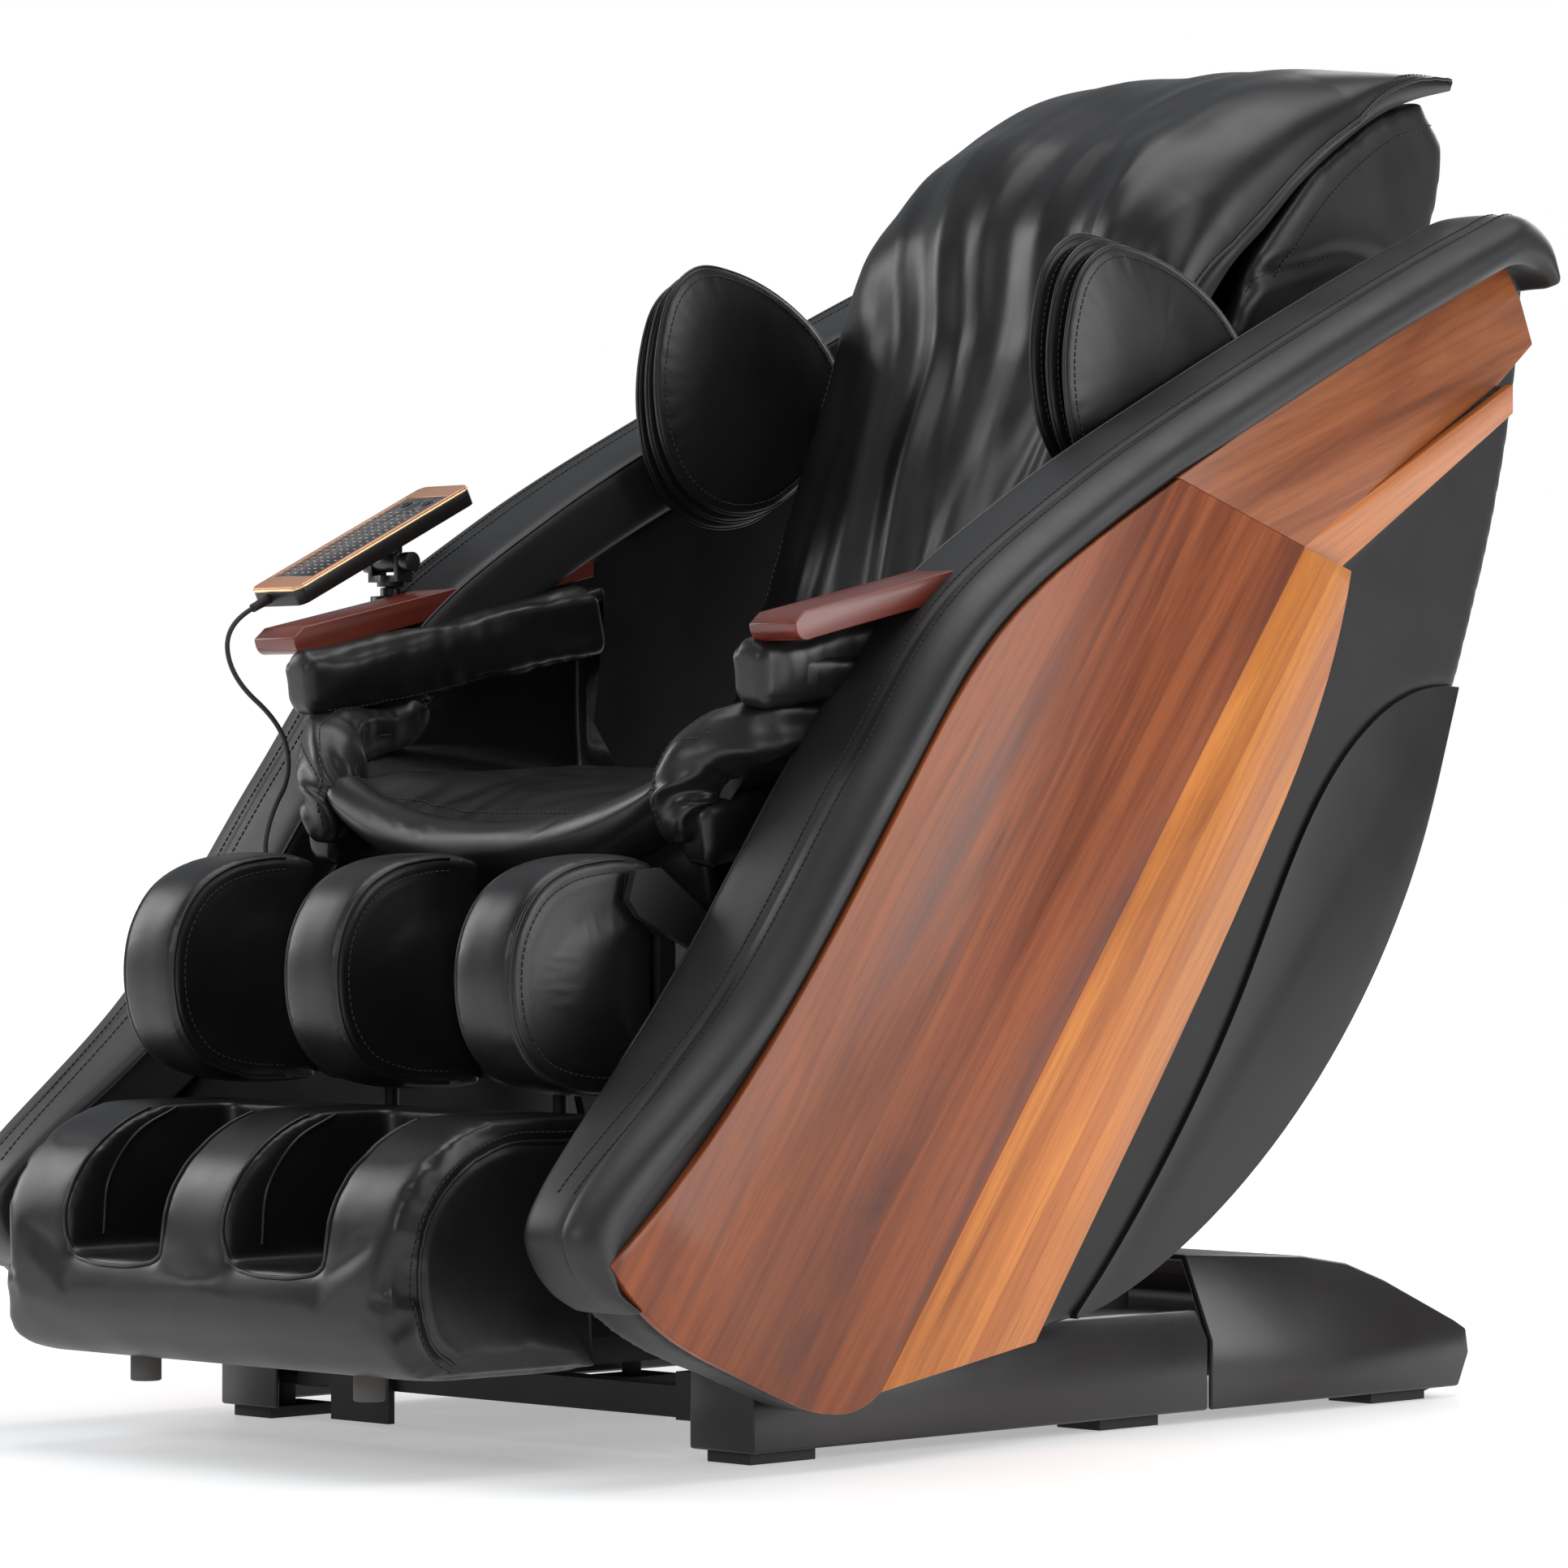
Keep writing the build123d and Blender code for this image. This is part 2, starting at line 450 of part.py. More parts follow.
# ---- leg rest --------------------------------------------------------------------------
def leg_rest():
    lobe_front = Spline((CALF_REAR, CALF_BOTTOM), (-470, CALF_BOTTOM), (-538, 330), (CALF_FRONT, 392),
                        (-540, 452), (-490, 490), (-440, CALF_TOP), (CALF_REAR, CALF_TOP - 6))
    lobe_back = Line((CALF_REAR, CALF_TOP - 6), (CALF_REAR, CALF_BOTTOM))
    lobes = Part()
    for x in (-CALF_PITCH, 0, CALF_PITCH):
        lobes = lobes + side_plate([lobe_front, lobe_back], x - LOBE_HALF, x + LOBE_HALF)
    side_recess = pair(block(238.6, 260, -446, -380, 290, 510))
    rear_pads = pair(block(LOBE_HALF + 1, CALF_PITCH - LOBE_HALF - 1, -408, CALF_REAR, 306, 440))
    rod_pocket = block(-9, 9, -402, -380, 370, 480)
    keep("calf_pads", lobes - side_recess - rod_pocket + rear_pads)

    plate = block(-238, 238, -385.6, -380, 308, 462)
    plate = plate - block(-9, 9, -400, -370, 376, 480)
    side = side_plate([(-385.6, 308), (-380, 308), (-380, 462), (-400, 484), (-424, 480), (-428, 455),
                       (-385.6, 430)], 239, 245) + block(236, 245, -385.6, -380, 308, 462)
    pin = x_rod(8, 240, 257, LEG_Y, LEG_Z)
    lever = side_plate([(-380, 388), (-380, 440), (-366, 440), (-344, 416), (-344, 394)], 12, 18)
    lever_pin = x_rod(SMALL_PIN_R, -18, 18, *LEG_LEVER)
    guide = block(ROD_X - 14, ROD_X + 14, -380, -352, 312, 336)
    guide = guide + Pos(0, 0, 100) * guide - Pos(ROD_X, ROD_Y, 400) * Cylinder(ROD_R + FIT, 300)
    keep("calf_frame", plate + pair(side + pin + lever + guide) + lever_pin)

    rods = pair(Pos(ROD_X, ROD_Y, 320) * Cylinder(ROD_R, 250))
    arms = pair(block(ROD_X - 14, ROD_X + 14, -448, -358, 190, 202))
    back = block(-200, 200, -454, -448, 92, 202)
    rubber = pair(Pos(140, -610, 68) * Cylinder(13, 22))
    keep("foot_frame", rods + arms + back)
    keep("foot_rubbers", rubber)

    outer = side_plate([Polyline((FOOT_REAR, FOOT_BOTTOM), (-640, FOOT_BOTTOM)),
                        Spline((-640, FOOT_BOTTOM), (-672, 96), (-HALF_LENGTH, 150), (-672, 215),
                               (-630, 262), (-560, FOOT_TOP)),
                        Polyline((-560, FOOT_TOP), (FOOT_REAR, FOOT_TOP), (FOOT_REAR, FOOT_BOTTOM))],
                       -FOOT_HALF, FOOT_HALF)
    well = block(WELL_IN, WELL_OUT, -800, -500, SOLE_Z, 400)
    keep("foot_pad", outer - pair(well))


# ---- remote control --------------------------------------------------------------------
def remote_part(solid):
    """Place a part drawn flat, with its origin at the middle of the remote's top face."""
    return Location((REMOTE_X, REMOTE_Y, REMOTE_Z), (REMOTE_TILT, 0, 0)) * solid


def remote():
    stand = Pos(REMOTE_X, STAND_Y, 710) * Cylinder(18, 38) + Pos(REMOTE_X, STAND_Y, 730) * Cylinder(9, 14)
    keep("remote_stand", stand - Pos(REMOTE_X, STAND_Y, 737) * Cylinder(5 + FIT, 24))
    yoke = (Pos(REMOTE_X, STAND_Y, 734) * Cylinder(5, 14) + Pos(REMOTE_X, STAND_Y, 743) * Cylinder(12, 10)
            + block(REMOTE_X - 20, REMOTE_X - 15, STAND_Y - 9, STAND_Y + 9, 744, 766)
            + block(REMOTE_X + 15, REMOTE_X + 20, STAND_Y - 9, STAND_Y + 9, 744, 766)
            + block(REMOTE_X - 20, REMOTE_X + 20, STAND_Y - 9, STAND_Y + 9, 742, 748))
    hinge_z = 760
    yoke = yoke - x_rod(4 + FIT, REMOTE_X - 30, REMOTE_X + 30, STAND_Y, hinge_z)
    keep("remote_yoke", yoke)

    width, length, depth = REMOTE_SIZE
    case = Pos(0, 0, -depth / 2 - 2) * Box(width, length, depth - 2)
    case = fillet(case.edges().filter_by(Axis.Z), 9)
    key_holes = Part() + [Pos(x, KEY_Y, 0) * Cylinder(KEY_R + 0.3, 10) for x in (-KEY_X, KEY_X)]
    case = case - key_holes
    bezel = fillet((Pos(0, 0, -1.5) * Box(width - 1, length - 1, 3)).edges().filter_by(Axis.Z), 9)
    window = Box(width - 10, length - 52, 10)
    knuckle = x_rod(9, REMOTE_X - 14, REMOTE_X + 14, STAND_Y, hinge_z)
    pin = x_rod(4, REMOTE_X - 24, REMOTE_X + 24, STAND_Y, hinge_z)
    knobs = (x_rod(9, REMOTE_X + 21, REMOTE_X + 31, STAND_Y, hinge_z)
             + x_rod(9, REMOTE_X - 31, REMOTE_X - 21, STAND_Y, hinge_z))
    neck = block(REMOTE_X - 10, REMOTE_X + 10, STAND_Y - 6, STAND_Y + 6, hinge_z, 786)
    body = remote_part(case) + (neck - remote_part(Pos(0, 0, 43) * Box(200, 400, 90)))
    keep("remote_body", body + knuckle + pin + knobs)
    keep("remote_bezel", remote_part(bezel - window))
    glass = Pos(0, 0, -1.6) * Box(width - 10.4, length - 52.4, 2.8)
    keep("remote_keypad", remote_part(glass - key_holes))
    for name, x in (("power_key", -KEY_X), ("pause_key", KEY_X)):
        keep(name, remote_part(Pos(x, KEY_Y, -0.9) * Cylinder(KEY_R, 3.8)))
    sleeve = remote_part(Pos(-12, -length / 2 - 10, -depth / 2 - 2) * Rot(90, 0, 0) * Cylinder(4, 20))
    keep("remote_strain_relief", sleeve)


def remote_cord():
    """The cord from the remote's strain relief to the grommet beside the right seat rail."""
    route = [Vector(*point) for point in CORD_ROUTE]
    runs = [after - before for before, after in zip(route, route[1:])]
    radii = []
    for first, second in zip(runs, runs[1:]):
        half_turn = math.radians(first.get_angle(second)) / 2
        radii.append(0.45 * min(first.length, second.length) / math.tan(half_turn))
    path = FilletPolyline(*CORD_ROUTE, radius=radii)
    start = Plane(origin=CORD_ROUTE[0], z_dir=runs[0])
    keep("remote_cord", sweep(start * Circle(CORD_R), path=path))
    end_x, end_y, end_z = CORD_ROUTE[-1]
    bush = rod_between(7, (end_x, end_y, end_z), (end_x, OUTRIGGER_Y - 22, end_z))
    keep("cord_grommet", bush)


for build_part in (side_shell, base, wheels, power_entry, carriage, tilt_actuator, seat, arms,
                   back_actuator, leg_actuator, backrest, massage, leg_rest, remote, remote_cord):
    build_part()

os.makedirs("parts", exist_ok=True)
for node_name, node_solid in nodes.items():
    export_step(node_solid, f"parts/{node_name}.step")
print(len(nodes), "nodes")
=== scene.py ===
import json
import math

import bmesh
import bpy
import numpy as np
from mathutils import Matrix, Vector, noise
from mathutils.bvhtree import BVHTree
from mathutils.kdtree import KDTree


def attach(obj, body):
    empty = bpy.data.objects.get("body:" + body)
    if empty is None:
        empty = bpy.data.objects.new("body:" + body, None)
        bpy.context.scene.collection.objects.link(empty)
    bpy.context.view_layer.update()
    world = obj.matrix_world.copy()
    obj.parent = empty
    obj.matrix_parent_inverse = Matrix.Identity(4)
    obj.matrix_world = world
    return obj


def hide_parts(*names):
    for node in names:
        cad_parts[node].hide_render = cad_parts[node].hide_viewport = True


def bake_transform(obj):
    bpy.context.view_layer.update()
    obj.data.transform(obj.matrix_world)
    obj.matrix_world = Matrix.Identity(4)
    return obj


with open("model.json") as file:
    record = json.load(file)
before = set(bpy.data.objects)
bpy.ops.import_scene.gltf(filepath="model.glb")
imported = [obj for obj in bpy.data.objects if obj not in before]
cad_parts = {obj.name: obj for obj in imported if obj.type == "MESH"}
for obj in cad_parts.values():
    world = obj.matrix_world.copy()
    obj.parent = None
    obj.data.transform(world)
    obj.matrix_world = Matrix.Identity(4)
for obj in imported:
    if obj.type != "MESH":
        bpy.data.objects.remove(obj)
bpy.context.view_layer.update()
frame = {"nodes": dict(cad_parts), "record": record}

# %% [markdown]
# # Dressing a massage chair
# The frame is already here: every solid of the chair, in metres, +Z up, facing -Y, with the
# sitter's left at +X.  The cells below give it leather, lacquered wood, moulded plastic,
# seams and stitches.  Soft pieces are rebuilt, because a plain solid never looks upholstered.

NODES = frame["nodes"]
SIDES = {"left": 1, "right": -1}


# %% Three helpers that every cell below can use
def shown(name, data):
    """A new object in the scene."""
    made = bpy.data.objects.new(name, data)
    bpy.context.scene.collection.objects.link(made)
    return made


def look_along(thing, direction):
    """Turn a camera or a lamp."""
    thing.rotation_mode = "QUATERNION"
    thing.rotation_quaternion = direction.to_track_quat("-Z", "Y")


def set_inputs(node, values):
    for key, value in values.items():
        node.inputs[key].default_value = value


# %% [markdown]
# ## Camera, light and floor
# A long lens from the front left keeps the verticals nearly parallel, as in a catalogue.
# Black leather is drawn by its reflections, so the lamps are large and soft, and the room
# around is dim for everything but the lens, which sees a clean white.

# %% Camera
CAMERA_AT = (4.056, -4.095, 0.522)
TURN, RISE = math.radians(44.68), math.radians(0.35)
SENSOR_MM, LENS_MM, FAR_CLIP = 36, 149.07, 60

camera = shown("camera", bpy.data.cameras.new("camera"))
bpy.context.scene.camera = camera
look = Vector((-math.sin(TURN) * math.cos(RISE), math.cos(TURN) * math.cos(RISE), math.sin(RISE)))
camera.location = CAMERA_AT
look_along(camera, look)
camera.data.sensor_width, camera.data.lens, camera.data.clip_end = SENSOR_MM, LENS_MM, FAR_CLIP
print("camera looks along", [round(c, 3) for c in look])

# %% The cord of the remote
# It leaves the remote's sleeve, sags in front of the armrest and goes back into the chair.
CORD_D = 0.0045
CORD_ROUTE = [(-0.372, -0.295, 0.7145), (-0.372, -0.3275, 0.699), (-0.360, -0.330, 0.652),
              (-0.325, -0.300, 0.610), (-0.303, -0.308, 0.566), (-0.281, -0.352, 0.530),
              (-0.266, -0.374, 0.490), (-0.266, -0.342, 0.440), (-0.272, -0.292, 0.420),
              (-0.272, -0.252, 0.420)]
line = bpy.data.curves.new("remote_flex", "CURVE")
line.dimensions = "3D"
spline = line.splines.new("NURBS")
spline.points.add(len(CORD_ROUTE) - 1)
for point, place in zip(spline.points, CORD_ROUTE):
    point.co = (*place, 1)
spline.order_u = 3
spline.use_endpoint_u = True
line.resolution_u = 16
curve = shown("remote_flex", line)
bare = bpy.data.meshes.new_from_object(curve)
bpy.data.meshes.remove(bare)
line.bevel_depth = CORD_D / 2
line.bevel_resolution = 4
line.use_fill_caps = True
flex = shown("remote_flex_cord", bpy.data.meshes.new_from_object(curve))
bpy.data.objects.remove(curve)
flex.data.shade_smooth()

# %% Lamps: place, aim, size in metres, power in watts
LAMPS = {"overhead": ((0.3, 0.2, 4.2), (0, 0, 0.5), (3.2, 3.2), 95),
         "left_bank": ((-3.6, -1.6, 2.2), (0, 0, 0.7), (1.6, 2.6), 70),
         "right_bank": ((3.4, 1.6, 1.5), (0.3, 0, 0.6), (1.4, 2.4), 60),
         "front_strip": ((1.2, -4.6, 2.4), (0, -0.2, 0.6), (2.2, 1.0), 45),
         "rear_glow": ((-1.0, 4.2, 2.6), (0, 0, 0.8), (3.0, 1.6), 60)}
for name, (place, aim, size, power) in LAMPS.items():
    light = bpy.data.lights.new(name, "AREA")
    light.shape, light.energy = "RECTANGLE", power
    light.size, light.size_y = size
    lamp = shown(name, light)
    lamp.location = place
    look_along(lamp, Vector(aim) - Vector(place))

# %% The room: white to the lens, dim to everything else
ROOM_COLOUR, ROOM_LIGHT = (0.80, 0.84, 0.90, 1), 0.32
WHITE = (1, 1, 1, 1)
world = bpy.data.worlds.new("studio")
world.use_nodes = True
bpy.context.scene.world = world
tree = world.node_tree
tree.nodes.clear()
seen, room, ray, pick, out = (tree.nodes.new(f"ShaderNode{kind}") for kind in (
    "Background", "Background", "LightPath", "MixShader", "OutputWorld"))
set_inputs(seen, {"Color": WHITE})
set_inputs(room, {"Color": ROOM_COLOUR, "Strength": ROOM_LIGHT})
tree.links.new(ray.outputs["Is Camera Ray"], pick.inputs[0])
tree.links.new(room.outputs[0], pick.inputs[1])
tree.links.new(seen.outputs[0], pick.inputs[2])
tree.links.new(pick.outputs[0], out.inputs["Surface"])
bpy.context.scene.view_settings.view_transform = "Standard"

# %% The floor, whose own glow rises with distance until it meets the white room
FLOOR = 30
GLOW = {"From Min": 1.0, "From Max": 4.5, "To Min": 0.40, "To Max": 1.0}
floor_mesh = bpy.data.meshes.new("floor")
floor_mesh.from_pydata([(-FLOOR, -FLOOR, 0), (FLOOR, -FLOOR, 0), (FLOOR, FLOOR, 0), (-FLOOR, FLOOR, 0)], [],
                       [(0, 1, 2, 3)])
floor = shown("floor", floor_mesh)
floor_paint = bpy.data.materials.new("floor_paint")
floor_paint.use_nodes = True
tree = floor_paint.node_tree
paint = tree.nodes["Principled BSDF"]
set_inputs(paint, {"Base Color": (0.9, 0.9, 0.9, 1), "Roughness": 0.32, "Emission Color": WHITE})
away, glow, coords = (tree.nodes.new(f"ShaderNode{kind}") for kind in ("VectorMath", "MapRange", "TexCoord"))
away.operation = "LENGTH"
set_inputs(glow, GLOW)
tree.links.new(coords.outputs["Object"], away.inputs[0])
tree.links.new(away.outputs["Value"], glow.inputs["Value"])
tree.links.new(glow.outputs["Result"], paint.inputs["Emission Strength"])
floor.data.materials.append(floor_paint)

# %% [markdown]
# ## Finishes
# Each finish is a small graph on Object coordinates, which here are the chair's own metres.
# Leather is nearly black with a fine pebble and slow changes in sheen.  Wood is drawn along
# the way the veneer was laid, with dark growth lines, pores and a clear lacquer on top.


# %% A helper for finishes
class Finish:
    """A node-based material that is built up by short calls."""

    def __init__(self, name, colour, roughness, metallic=0.0, specular=0.5, coat=0.0, coat_roughness=0.1):
        self.material = bpy.data.materials.new(name)
        self.material.use_nodes = True
        self.tree = self.material.node_tree
        self.skin = self.tree.nodes["Principled BSDF"]
        set_inputs(self.skin, {"Base Color": (*colour, 1), "Roughness": roughness, "Metallic": metallic,
                               "Specular IOR Level": specular, "Coat Weight": coat,
                               "Coat Roughness": coat_roughness})
        self.place = self.add("ShaderNodeTexCoord").outputs["Object"]
        self.height = None

    def add(self, kind, inputs=None, **values):
        """A new node. An input is a number, or the output of another node to link."""
        made = self.tree.nodes.new(kind)
        for key, value in values.items():
            setattr(made, key, value)
        for key, value in (inputs or {}).items():
            if isinstance(value, bpy.types.NodeSocket):
                self.join(value, made.inputs[key])
            else:
                made.inputs[key].default_value = value
        return made

    def join(self, start, end):
        self.tree.links.new(start, end)

    def mapped(self, turn=(0, 0, 0), scale=(1, 1, 1)):
        """The piece's coordinates, turned first and scaled after."""
        turn, scale = tuple(-angle for angle in turn), tuple(1 / factor for factor in scale)
        return self.add("ShaderNodeMapping", {"Vector": self.place, "Rotation": turn, "Scale": scale},
                        vector_type="TEXTURE").outputs["Vector"]

    def noise(self, scale, detail=3, place=None, roughness=0.5, distortion=0.0):
        return self.add("ShaderNodeTexNoise", {
            "Scale": scale, "Detail": detail, "Roughness": roughness, "Distortion": distortion,
            "Vector": place or self.place}).outputs["Fac"]

    def cells(self, scale):
        return self.add("ShaderNodeTexVoronoi", {"Scale": scale, "Vector": self.place},
                        feature="DISTANCE_TO_EDGE").outputs["Distance"]

    def spread(self, value, low, high, start=0.0, end=1.0):
        """Carry values from start to end over to low to high."""
        return self.add("ShaderNodeMapRange", {
            "Value": value, "From Min": start, "From Max": end,
            "To Min": low, "To Max": high}).outputs["Result"]

    def ramp(self, value, stops, mode="LINEAR"):
        made = self.add("ShaderNodeValToRGB", {"Fac": value})
        made.color_ramp.interpolation = mode
        band = made.color_ramp.elements
        while len(band) < len(stops):
            band.new(0.5)
        for element, (where, colour) in zip(band, stops):
            element.position = where
            element.color = (*colour, 1)
        return made.outputs["Color"]

    def mix(self, first, second, share, mode="MIX"):
        first, second = ((*c, 1) if isinstance(c, tuple) else c for c in (first, second))
        return self.add("ShaderNodeMix", {6: first, 7: second, 0: share}, data_type="RGBA",
                        blend_type=mode).outputs[2]

    def paint(self, colour):
        self.join(colour, self.skin.inputs["Base Color"])

    def rough(self, value):
        self.join(value, self.skin.inputs["Roughness"])

    def bump(self, height, strength, distance):
        """Each bump lies on top of the one before."""
        made = self.add("ShaderNodeBump", {"Height": height, "Strength": strength, "Distance": distance})
        if self.height is not None:
            self.join(self.height, made.inputs["Normal"])
        self.height = made.outputs["Normal"]
        self.join(self.height, self.skin.inputs["Normal"])


# %% Leather and thread
SHEEN_UNDER, SHEEN_OVER = 0.05, 0.07
PEBBLE_SCALE, PEBBLE_DEPTH = 620, 0.00022
WRINKLE_SCALE, WRINKLE_DEPTH = 38, 0.0016


def leather(name, low, high, roughness, pebble=0.16, specular=0.42):
    made = Finish(name, low, roughness, specular=specular)
    made.paint(made.mix(low, high, made.spread(made.noise(7, 4), 0, 1, 0.35, 0.68)))
    made.rough(made.spread(made.noise(16, 4), roughness - SHEEN_UNDER, roughness + SHEEN_OVER, 0.3, 0.7))
    made.bump(made.noise(WRINKLE_SCALE, 4, made.mapped(scale=(1, 1, 0.6))), 0.10, WRINKLE_DEPTH)
    made.bump(made.spread(made.cells(PEBBLE_SCALE), 0, 1, 0, 0.25), pebble, PEBBLE_DEPTH)
    return made.material


def thread(name, low, high):
    """Bonded thread: short matt and shiny stretches over a fine twist."""
    made = Finish(name, low, 0.6)
    made.paint(made.mix(low, high, made.noise(220, 2)))
    made.rough(made.spread(made.noise(350, 2), 0.50, 0.70))
    made.bump(made.noise(1400, 2), 0.2, 0.0001)
    return made.material


LEATHER = leather("black_leather", (0.0060, 0.0057, 0.0058), (0.0100, 0.0095, 0.0097), 0.34)
# The band leather is partly real and partly painted light: it is rougher than the rest, but its lighter base
# colour is a painted sheen for the broad soft reflections that make the band look grey.
MATT_LEATHER_WITH_PAINTED_SHEEN = leather("band_leather_painted_sheen", (0.011, 0.011, 0.0115), (0.017, 0.0168, 0.0175), 0.45, 0.10)
SHELL_LEATHER = leather("shell_leather", (0.0085, 0.0080, 0.0080), (0.0125, 0.0118, 0.0118), 0.42, 0.12, 0.34)
THREAD = thread("black_thread", (0.010, 0.010, 0.010), (0.014, 0.014, 0.014))

# %% Wood
WARM_PATCH = (1.35, 1.25, 1.10)
STAVE_TINTS = [(0.0, (1, 1, 1)), (0.30, (0.80, 0.70, 0.60)), (0.46, (1.06, 1.08, 1.1)),
               (0.66, (0.84, 0.78, 0.7)), (0.84, (1.1, 1.12, 1.1))]


def veneer(name, angle, dark, middle, light, staves=None, coat=0.2):
    """Lacquered veneer whose grain runs at this angle above the horizontal, seen from the side."""
    made = Finish(name, middle, 0.36, specular=0.25, coat=coat, coat_roughness=0.22)
    turn = (-math.radians(angle), 0, 0)
    growth = made.noise(1.0, 5, made.mapped(turn, (10, 1.3, 19)), 0.55, 1.8)
    body = made.ramp(growth, [(0.18, dark), (0.40, middle), (0.62, light), (0.82, middle)])
    wave = made.add("ShaderNodeTexWave", {
        "Scale": 1.0, "Distortion": 14.0, "Detail": 4.0, "Detail Scale": 0.6,
        "Vector": made.mapped(turn, (5, 1.3, 22))},
        wave_type="BANDS", bands_direction="Z", wave_profile="SIN")
    body = made.mix(body, dark, made.spread(wave.outputs["Fac"], 0.0, 0.17, 0.62, 1.0))
    pores = made.noise(60, 3, made.mapped(turn, (2, 0.35, 9)), 0.7)
    body = made.mix(body, dark, made.spread(pores, 0.0, 0.32, 0.50, 0.72))
    patch = made.noise(2.2, 2, made.mapped(turn, (2, 0.8, 1.6)))
    body = made.mix(body, WARM_PATCH, made.spread(patch, 0.0, 0.6, 0.42, 0.72), "MULTIPLY")
    if staves:
        split = made.add("ShaderNodeSeparateXYZ", {0: made.mapped(turn)})
        across = made.spread(split.outputs["Z"], 0, 1, *staves)
        body = made.mix(body, made.ramp(across, STAVE_TINTS, "CONSTANT"), 0.75, "MULTIPLY")
    made.paint(body)
    made.rough(made.spread(growth, 0.30, 0.44, 0.3, 0.7))
    made.bump(pores, 0.04, 0.0004)
    return made.material


PANEL_WOOD = veneer("red_brown_wood", 52.8, (0.040, 0.008, 0.003), (0.165, 0.036, 0.009),
                    (0.275, 0.069, 0.016))
AMBER_WOOD = veneer("amber_wood", 52.8, (0.17, 0.043, 0.008), (0.42, 0.130, 0.021), (0.54, 0.19, 0.034),
                    staves=(0.10, 0.27))
BEVEL_WOOD = veneer("bevel_wood", 27.5, (0.14, 0.034, 0.008), (0.36, 0.102, 0.020), (0.47, 0.15, 0.030))
# The cap is the same red-brown wood as the panel, with its own grain angle; its lighter colours are painted
# light for its upward-facing facet.
CAP_WOOD_PAINTED_LIGHT = veneer("cap_wood_painted_light", 20.0, (0.060, 0.015, 0.005), (0.20, 0.054, 0.016), (0.29, 0.090, 0.028))
CHERRY_WOOD = veneer("cherry_wood", 11.5, (0.038, 0.005, 0.003), (0.105, 0.014, 0.007), (0.155, 0.023, 0.010),
                     coat=0.6)


# %% Plastics, metals and rubber
def moulded(name, colour, roughness, texture=900, depth=0.00012, **more):
    made = Finish(name, colour, roughness, **more)
    made.rough(made.spread(made.noise(9, 3), roughness - 0.04, roughness + 0.05, 0.3, 0.7))
    made.bump(made.noise(texture, 2), 0.10, depth)
    shade = tuple(min(1, c * 1.25 + 0.002) for c in colour)
    made.paint(made.mix(colour, shade, made.spread(made.noise(5, 3), 0, 1, 0.35, 0.7)))
    return made.material


BASE_PLASTIC = moulded("base_plastic", (0.0115, 0.0088, 0.0080), 0.30, specular=0.4)
SATIN_PLASTIC = moulded("satin_plastic", (0.0095, 0.0075, 0.0068), 0.33, specular=0.36)
GLOSS_BLACK = moulded("gloss_black", (0.006, 0.006, 0.007), 0.12, 300, 0.00003, coat=0.6, coat_roughness=0.05)
BLACK_STEEL = moulded("black_steel", (0.010, 0.010, 0.011), 0.5, 1400, 0.0001, specular=0.3)
RUBBER = moulded("rubber", (0.014, 0.013, 0.013), 0.72, 700, 0.0002)
GREY_RUBBER = moulded("grey_rubber", (0.075, 0.070, 0.066), 0.75, 700, 0.0002)
BRIGHT_STEEL = moulded("bright_steel", (0.58, 0.58, 0.60), 0.24, 500, 0.00005, metallic=1.0)
CAST_METAL = moulded("cast_metal", (0.38, 0.38, 0.40), 0.45, 800, 0.0002, metallic=1.0)
NYLON = moulded("nylon", (0.20, 0.19, 0.175), 0.5)
COPPER_TRIM = moulded("copper_trim", (0.56, 0.27, 0.155), 0.34, 2200, 0.00004, metallic=0.55, coat=0.2)
GOLD_EDGE = moulded("gold_edge", (0.72, 0.52, 0.30), 0.3, 2200, 0.00003, metallic=0.7)
PALE_PRINT = moulded("pale_print", (0.42, 0.36, 0.33), 0.5, 2200, 0.00002)

FINISH_OF_SLOT = {"black_steel": BLACK_STEEL, "black_plastic": SATIN_PLASTIC, "rubber": RUBBER,
                  "black_leather": LEATHER, "red_brown_wood": PANEL_WOOD, "amber_wood": AMBER_WOOD,
                  "cherry_wood": CHERRY_WOOD, "bright_steel": BRIGHT_STEEL, "grey_metal": CAST_METAL,
                  "roller_plastic": NYLON, "copper_trim": COPPER_TRIM, "gloss_black": GLOSS_BLACK}
for entry in frame["record"]["subparts"]:
    node = NODES[entry["node"]]
    node.data.materials.clear()
    node.data.materials.append(FINISH_OF_SLOT[entry["material_slot"]])
for name in ("base_side_cover_left", "base_side_cover_right", "base_rear_cover"):
    NODES[name].data.materials[0] = BASE_PLASTIC
NODES["foot_rubbers"].data.materials[0] = GREY_RUBBER
flex.data.materials.append(RUBBER)
print("finishes", len(bpy.data.materials))

# %% [markdown]
# ## Helpers for shapes
# Three ways of making a piece are used again and again: a loft through rings of points, a
# dressed copy of a hard solid with its edges eased, and a soft copy of a solid, which is
# remeshed evenly and relaxed.  Most cushions are also blown up a little as cloth, with their
# seams held.

# %% Helpers: smooth lines
STEPS_PER_SPAN = 24


